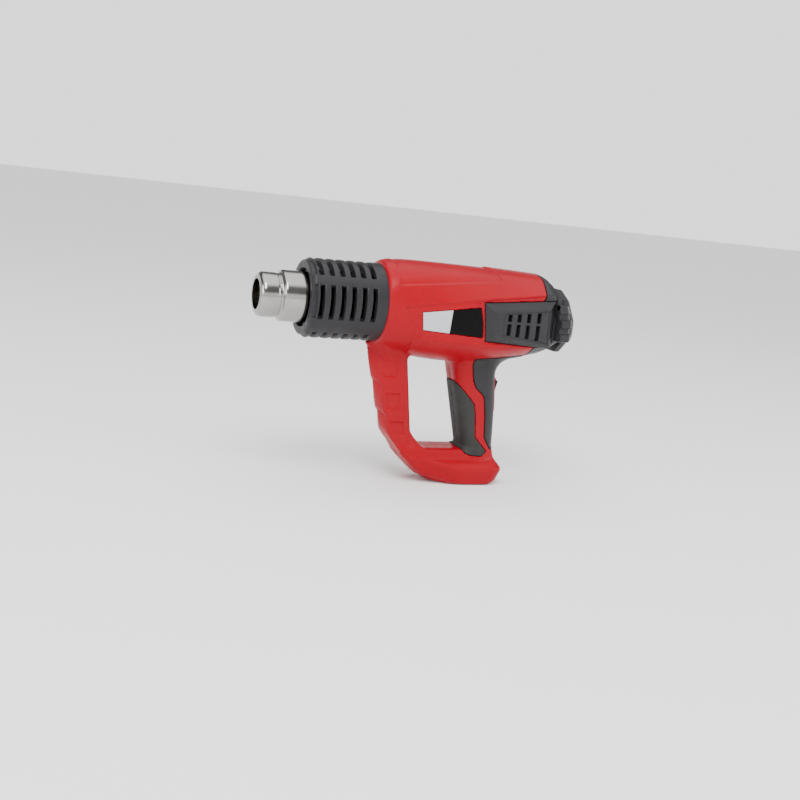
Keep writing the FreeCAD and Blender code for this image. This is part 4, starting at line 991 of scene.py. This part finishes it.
def twin_pieces(name, form, low, high, step, keep, slot_name, node):
    """A left piece from its form and the right piece as its mirror image."""
    left = mesh_from_form(name + "_left_piece", form, low, high, step, keep)
    right = mirrored(left, name + "_right_piece")
    set_form_normals(right, flip(form), step)
    place(left, slot_name, [node + "_left"])
    place(right, slot_name, [node + "_right"])


def build_casing():
    """Housing halves with the pads, vents, badges, covers and panel that sit on them."""
    for side, form, low, high in (("left", red_half, RED_LOW, RED_HIGH),
                                  ("right", red_right, RED_RIGHT_LOW, RED_RIGHT_HIGH)):
        shell = mesh_from_form("casing_%s_piece" % side, form, low, high, 0.85, 0.45)
        place(shell, "red_shell", ["housing_" + side])
    twin_pieces("pad", pad_half, (-76, -0.8, 20), (-30, 20, 92), 0.6, 0.5, "grip_rubber", "grip_pad")
    twin_pieces("vent", vent_half, (-110, 32.5, 118), (-42, 45, 162), 0.5, 0.5, "dark_plastic", "vent")
    twin_pieces("badge", badge_half, (-48, 34, 123), (9, 41, 153), 0.45, 0.5, "badge_print", "badge")
    cover = mesh_from_form("grip_cover_piece", cover_form, (-94, -31, 26), (-46, 31, 113), 0.75, 0.5)
    place(cover, "dark_plastic", ["rear_grip_cover"])
    bezel = mesh_from_form("bezel_piece", bezel_form, (-84, -14, 58), (-70, 14, 94), 0.5, 0.6)
    place(bezel, "red_shell", ["rocker_bezel"])
    cap = mesh_from_form("cap_piece", cap_form, (-125, -41, 103), (-91, 41, 181), 0.75, 0.5)
    place(cap, "dark_plastic", ["rear_cover"])
    panel = mesh_from_form("panel_piece", panel_form, (-133, -48, 113), (-108, 48, 171), 0.55, 0.45)
    place(panel, "dark_plastic", ["control_panel"])


def build_front():
    """Heat guard and outlet tube."""
    guard = mesh_from_form("guard_piece", guard_form, (29, -32.5, 112), (100, 32.5, 177), 0.6, 0.45)
    place(guard, "guard_plastic", ["heat_guard"])
    tube = lathe("outlet_tube_piece", tube_profile())
    place(tube, "stainless_steel", ["outlet_tube"])


BEVELS = {"rocker": 0.7, "key_up": 0.5, "key_down": 0.5, "key_left": 0.5,
          "key_right": 0.5, "cord_inlet_bush": 0.5, "switch_body": 0.3, "mica_former": 0.1,
          "housing_screws": 0.25}


def soften(obj, width_mm):
    """Rounds a CAD node's edges without touching its mesh."""
    weld = obj.modifiers.new("weld", "WELD")
    weld.merge_threshold = 1e-6
    bevel = obj.modifiers.new("bevel", "BEVEL")
    bevel.width = width_mm * MM
    bevel.segments = 3
    bevel.limit_method = "ANGLE"
    bevel.angle_limit = math.radians(38)
    bevel.harden_normals = True


def dress_cad_nodes():
    """Material for every CAD node, by its slot in the record, and rounded edges where they show."""
    for part in frame["record"]["subparts"]:
        obj = frame["nodes"][part["node"]]
        obj.data.materials.clear()
        obj.data.materials.append(MATERIALS[part["material_slot"]])
        if part["node"] in BEVELS:
            soften(obj, BEVELS[part["node"]])


def build_display():
    """Display parts, leant to follow the panel, with the digits in front of the module."""
    marks = leant(display_marks(mm_box("display_module")[0][0]))
    marks.data.materials.append(MATERIALS["black_plastic"])
    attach(marks, "root")
    for node, slot_name in (("display_window", "clear_window"), ("display_module", "display_face"),
                            ("display_board", "circuit_board")):
        place(leant(boxes(node + "_piece", [mm_box(node)])), slot_name, [node])


# Stage: floor, soft light and the camera.

def plain_floor():
    """Wide pale floor, just under the sole."""
    bpy.ops.mesh.primitive_plane_add(size=60, location=(0, 0, -0.0002))
    floor = bpy.context.object
    floor.name = "floor"
    paint = Paint("floor_paint", 0.7)
    paint.colour(paint.mix(paint.noise(3), (0.90, 0.90, 0.90, 1.0), (0.92, 0.92, 0.92, 1.0)))
    paint.rough(paint.ranged(paint.noise(9), 0.66, 0.74))
    paint.bump(paint.noise(300), 0.03, 0.05)
    floor.data.materials.append(paint.material)


def area_light(name, place_at, size, power):
    """Square softbox aimed at the gun."""
    data = bpy.data.lights.new(name, "AREA")
    data.shape = "SQUARE"
    data.size = size
    data.energy = power
    light = bpy.data.objects.new(name, data)
    light.location = place_at
    light.rotation_euler = (Vector((0, 0, 0.1)) - light.location).to_track_quat("-Z", "Y").to_euler()
    bpy.context.collection.objects.link(light)


def studio_light():
    """Three softboxes in a pale room with a dark band, which gives the steel its contrast."""
    world = bpy.data.worlds.new("studio")
    world.use_nodes = True
    tree = world.node_tree
    background = tree.nodes["Background"]
    background.inputs["Strength"].default_value = 1.0
    coordinates = tree.nodes.new("ShaderNodeTexCoord")
    split = tree.nodes.new("ShaderNodeSeparateXYZ")
    ramp_node = tree.nodes.new("ShaderNodeValToRGB")
    tree.links.new(coordinates.outputs["Generated"], split.inputs["Vector"])
    tree.links.new(split.outputs["Z"], ramp_node.inputs["Fac"])
    tree.links.new(ramp_node.outputs["Color"], background.inputs["Color"])
    stops = ramp_node.color_ramp.elements
    stops[0].position, stops[1].position = 0.20, 0.30
    for stop, level in zip(stops, (1.75, 0.25)):
        stop.color = (level, level, level, 1.0)
    for position, level in ((0.70, 0.25), (0.84, 2.6)):
        stops.new(position).color = (level, level, level, 1.0)
    bpy.context.scene.world = world
    area_light("key_light", (0.5, 1.1, 1.5), 0.9, 34)
    area_light("side_light", (-1.2, 0.9, 0.7), 0.8, 12)
    area_light("front_light", (1.5, 0.3, 0.6), 0.7, 10)


CAMERA_AT = (343.8, 807.4, 226.3)
CAMERA_BEARING = math.radians(22.86)
CAMERA_RISE = math.radians(10.37)
CAMERA_ROLL = math.radians(6.39)


def make_camera():
    """Camera at the photographer's place, with the slight tilt of the picture."""
    data = bpy.data.cameras.new("camera")
    data.lens = 48.93
    data.sensor_width = 36.0
    data.clip_end = 50
    bearing, rise = CAMERA_BEARING, CAMERA_RISE
    away = Vector((math.sin(bearing) * math.cos(rise), math.cos(bearing) * math.cos(rise),
                   math.sin(rise)))
    level = Vector((-math.cos(bearing), math.sin(bearing), 0))
    upright = away.cross(level)
    right = level * math.cos(CAMERA_ROLL) + upright * math.sin(CAMERA_ROLL)
    top = -level * math.sin(CAMERA_ROLL) + upright * math.cos(CAMERA_ROLL)
    camera = bpy.data.objects.new("camera", data)
    turn = Matrix((right, top, away)).transposed().to_4x4()
    camera.matrix_world = Matrix.Translation(Vector(CAMERA_AT) * MM) @ turn
    bpy.context.collection.objects.link(camera)
    bpy.context.scene.camera = camera


dress_cad_nodes()
build_casing()
build_front()
build_display()
plain_floor()
studio_light()
make_camera()
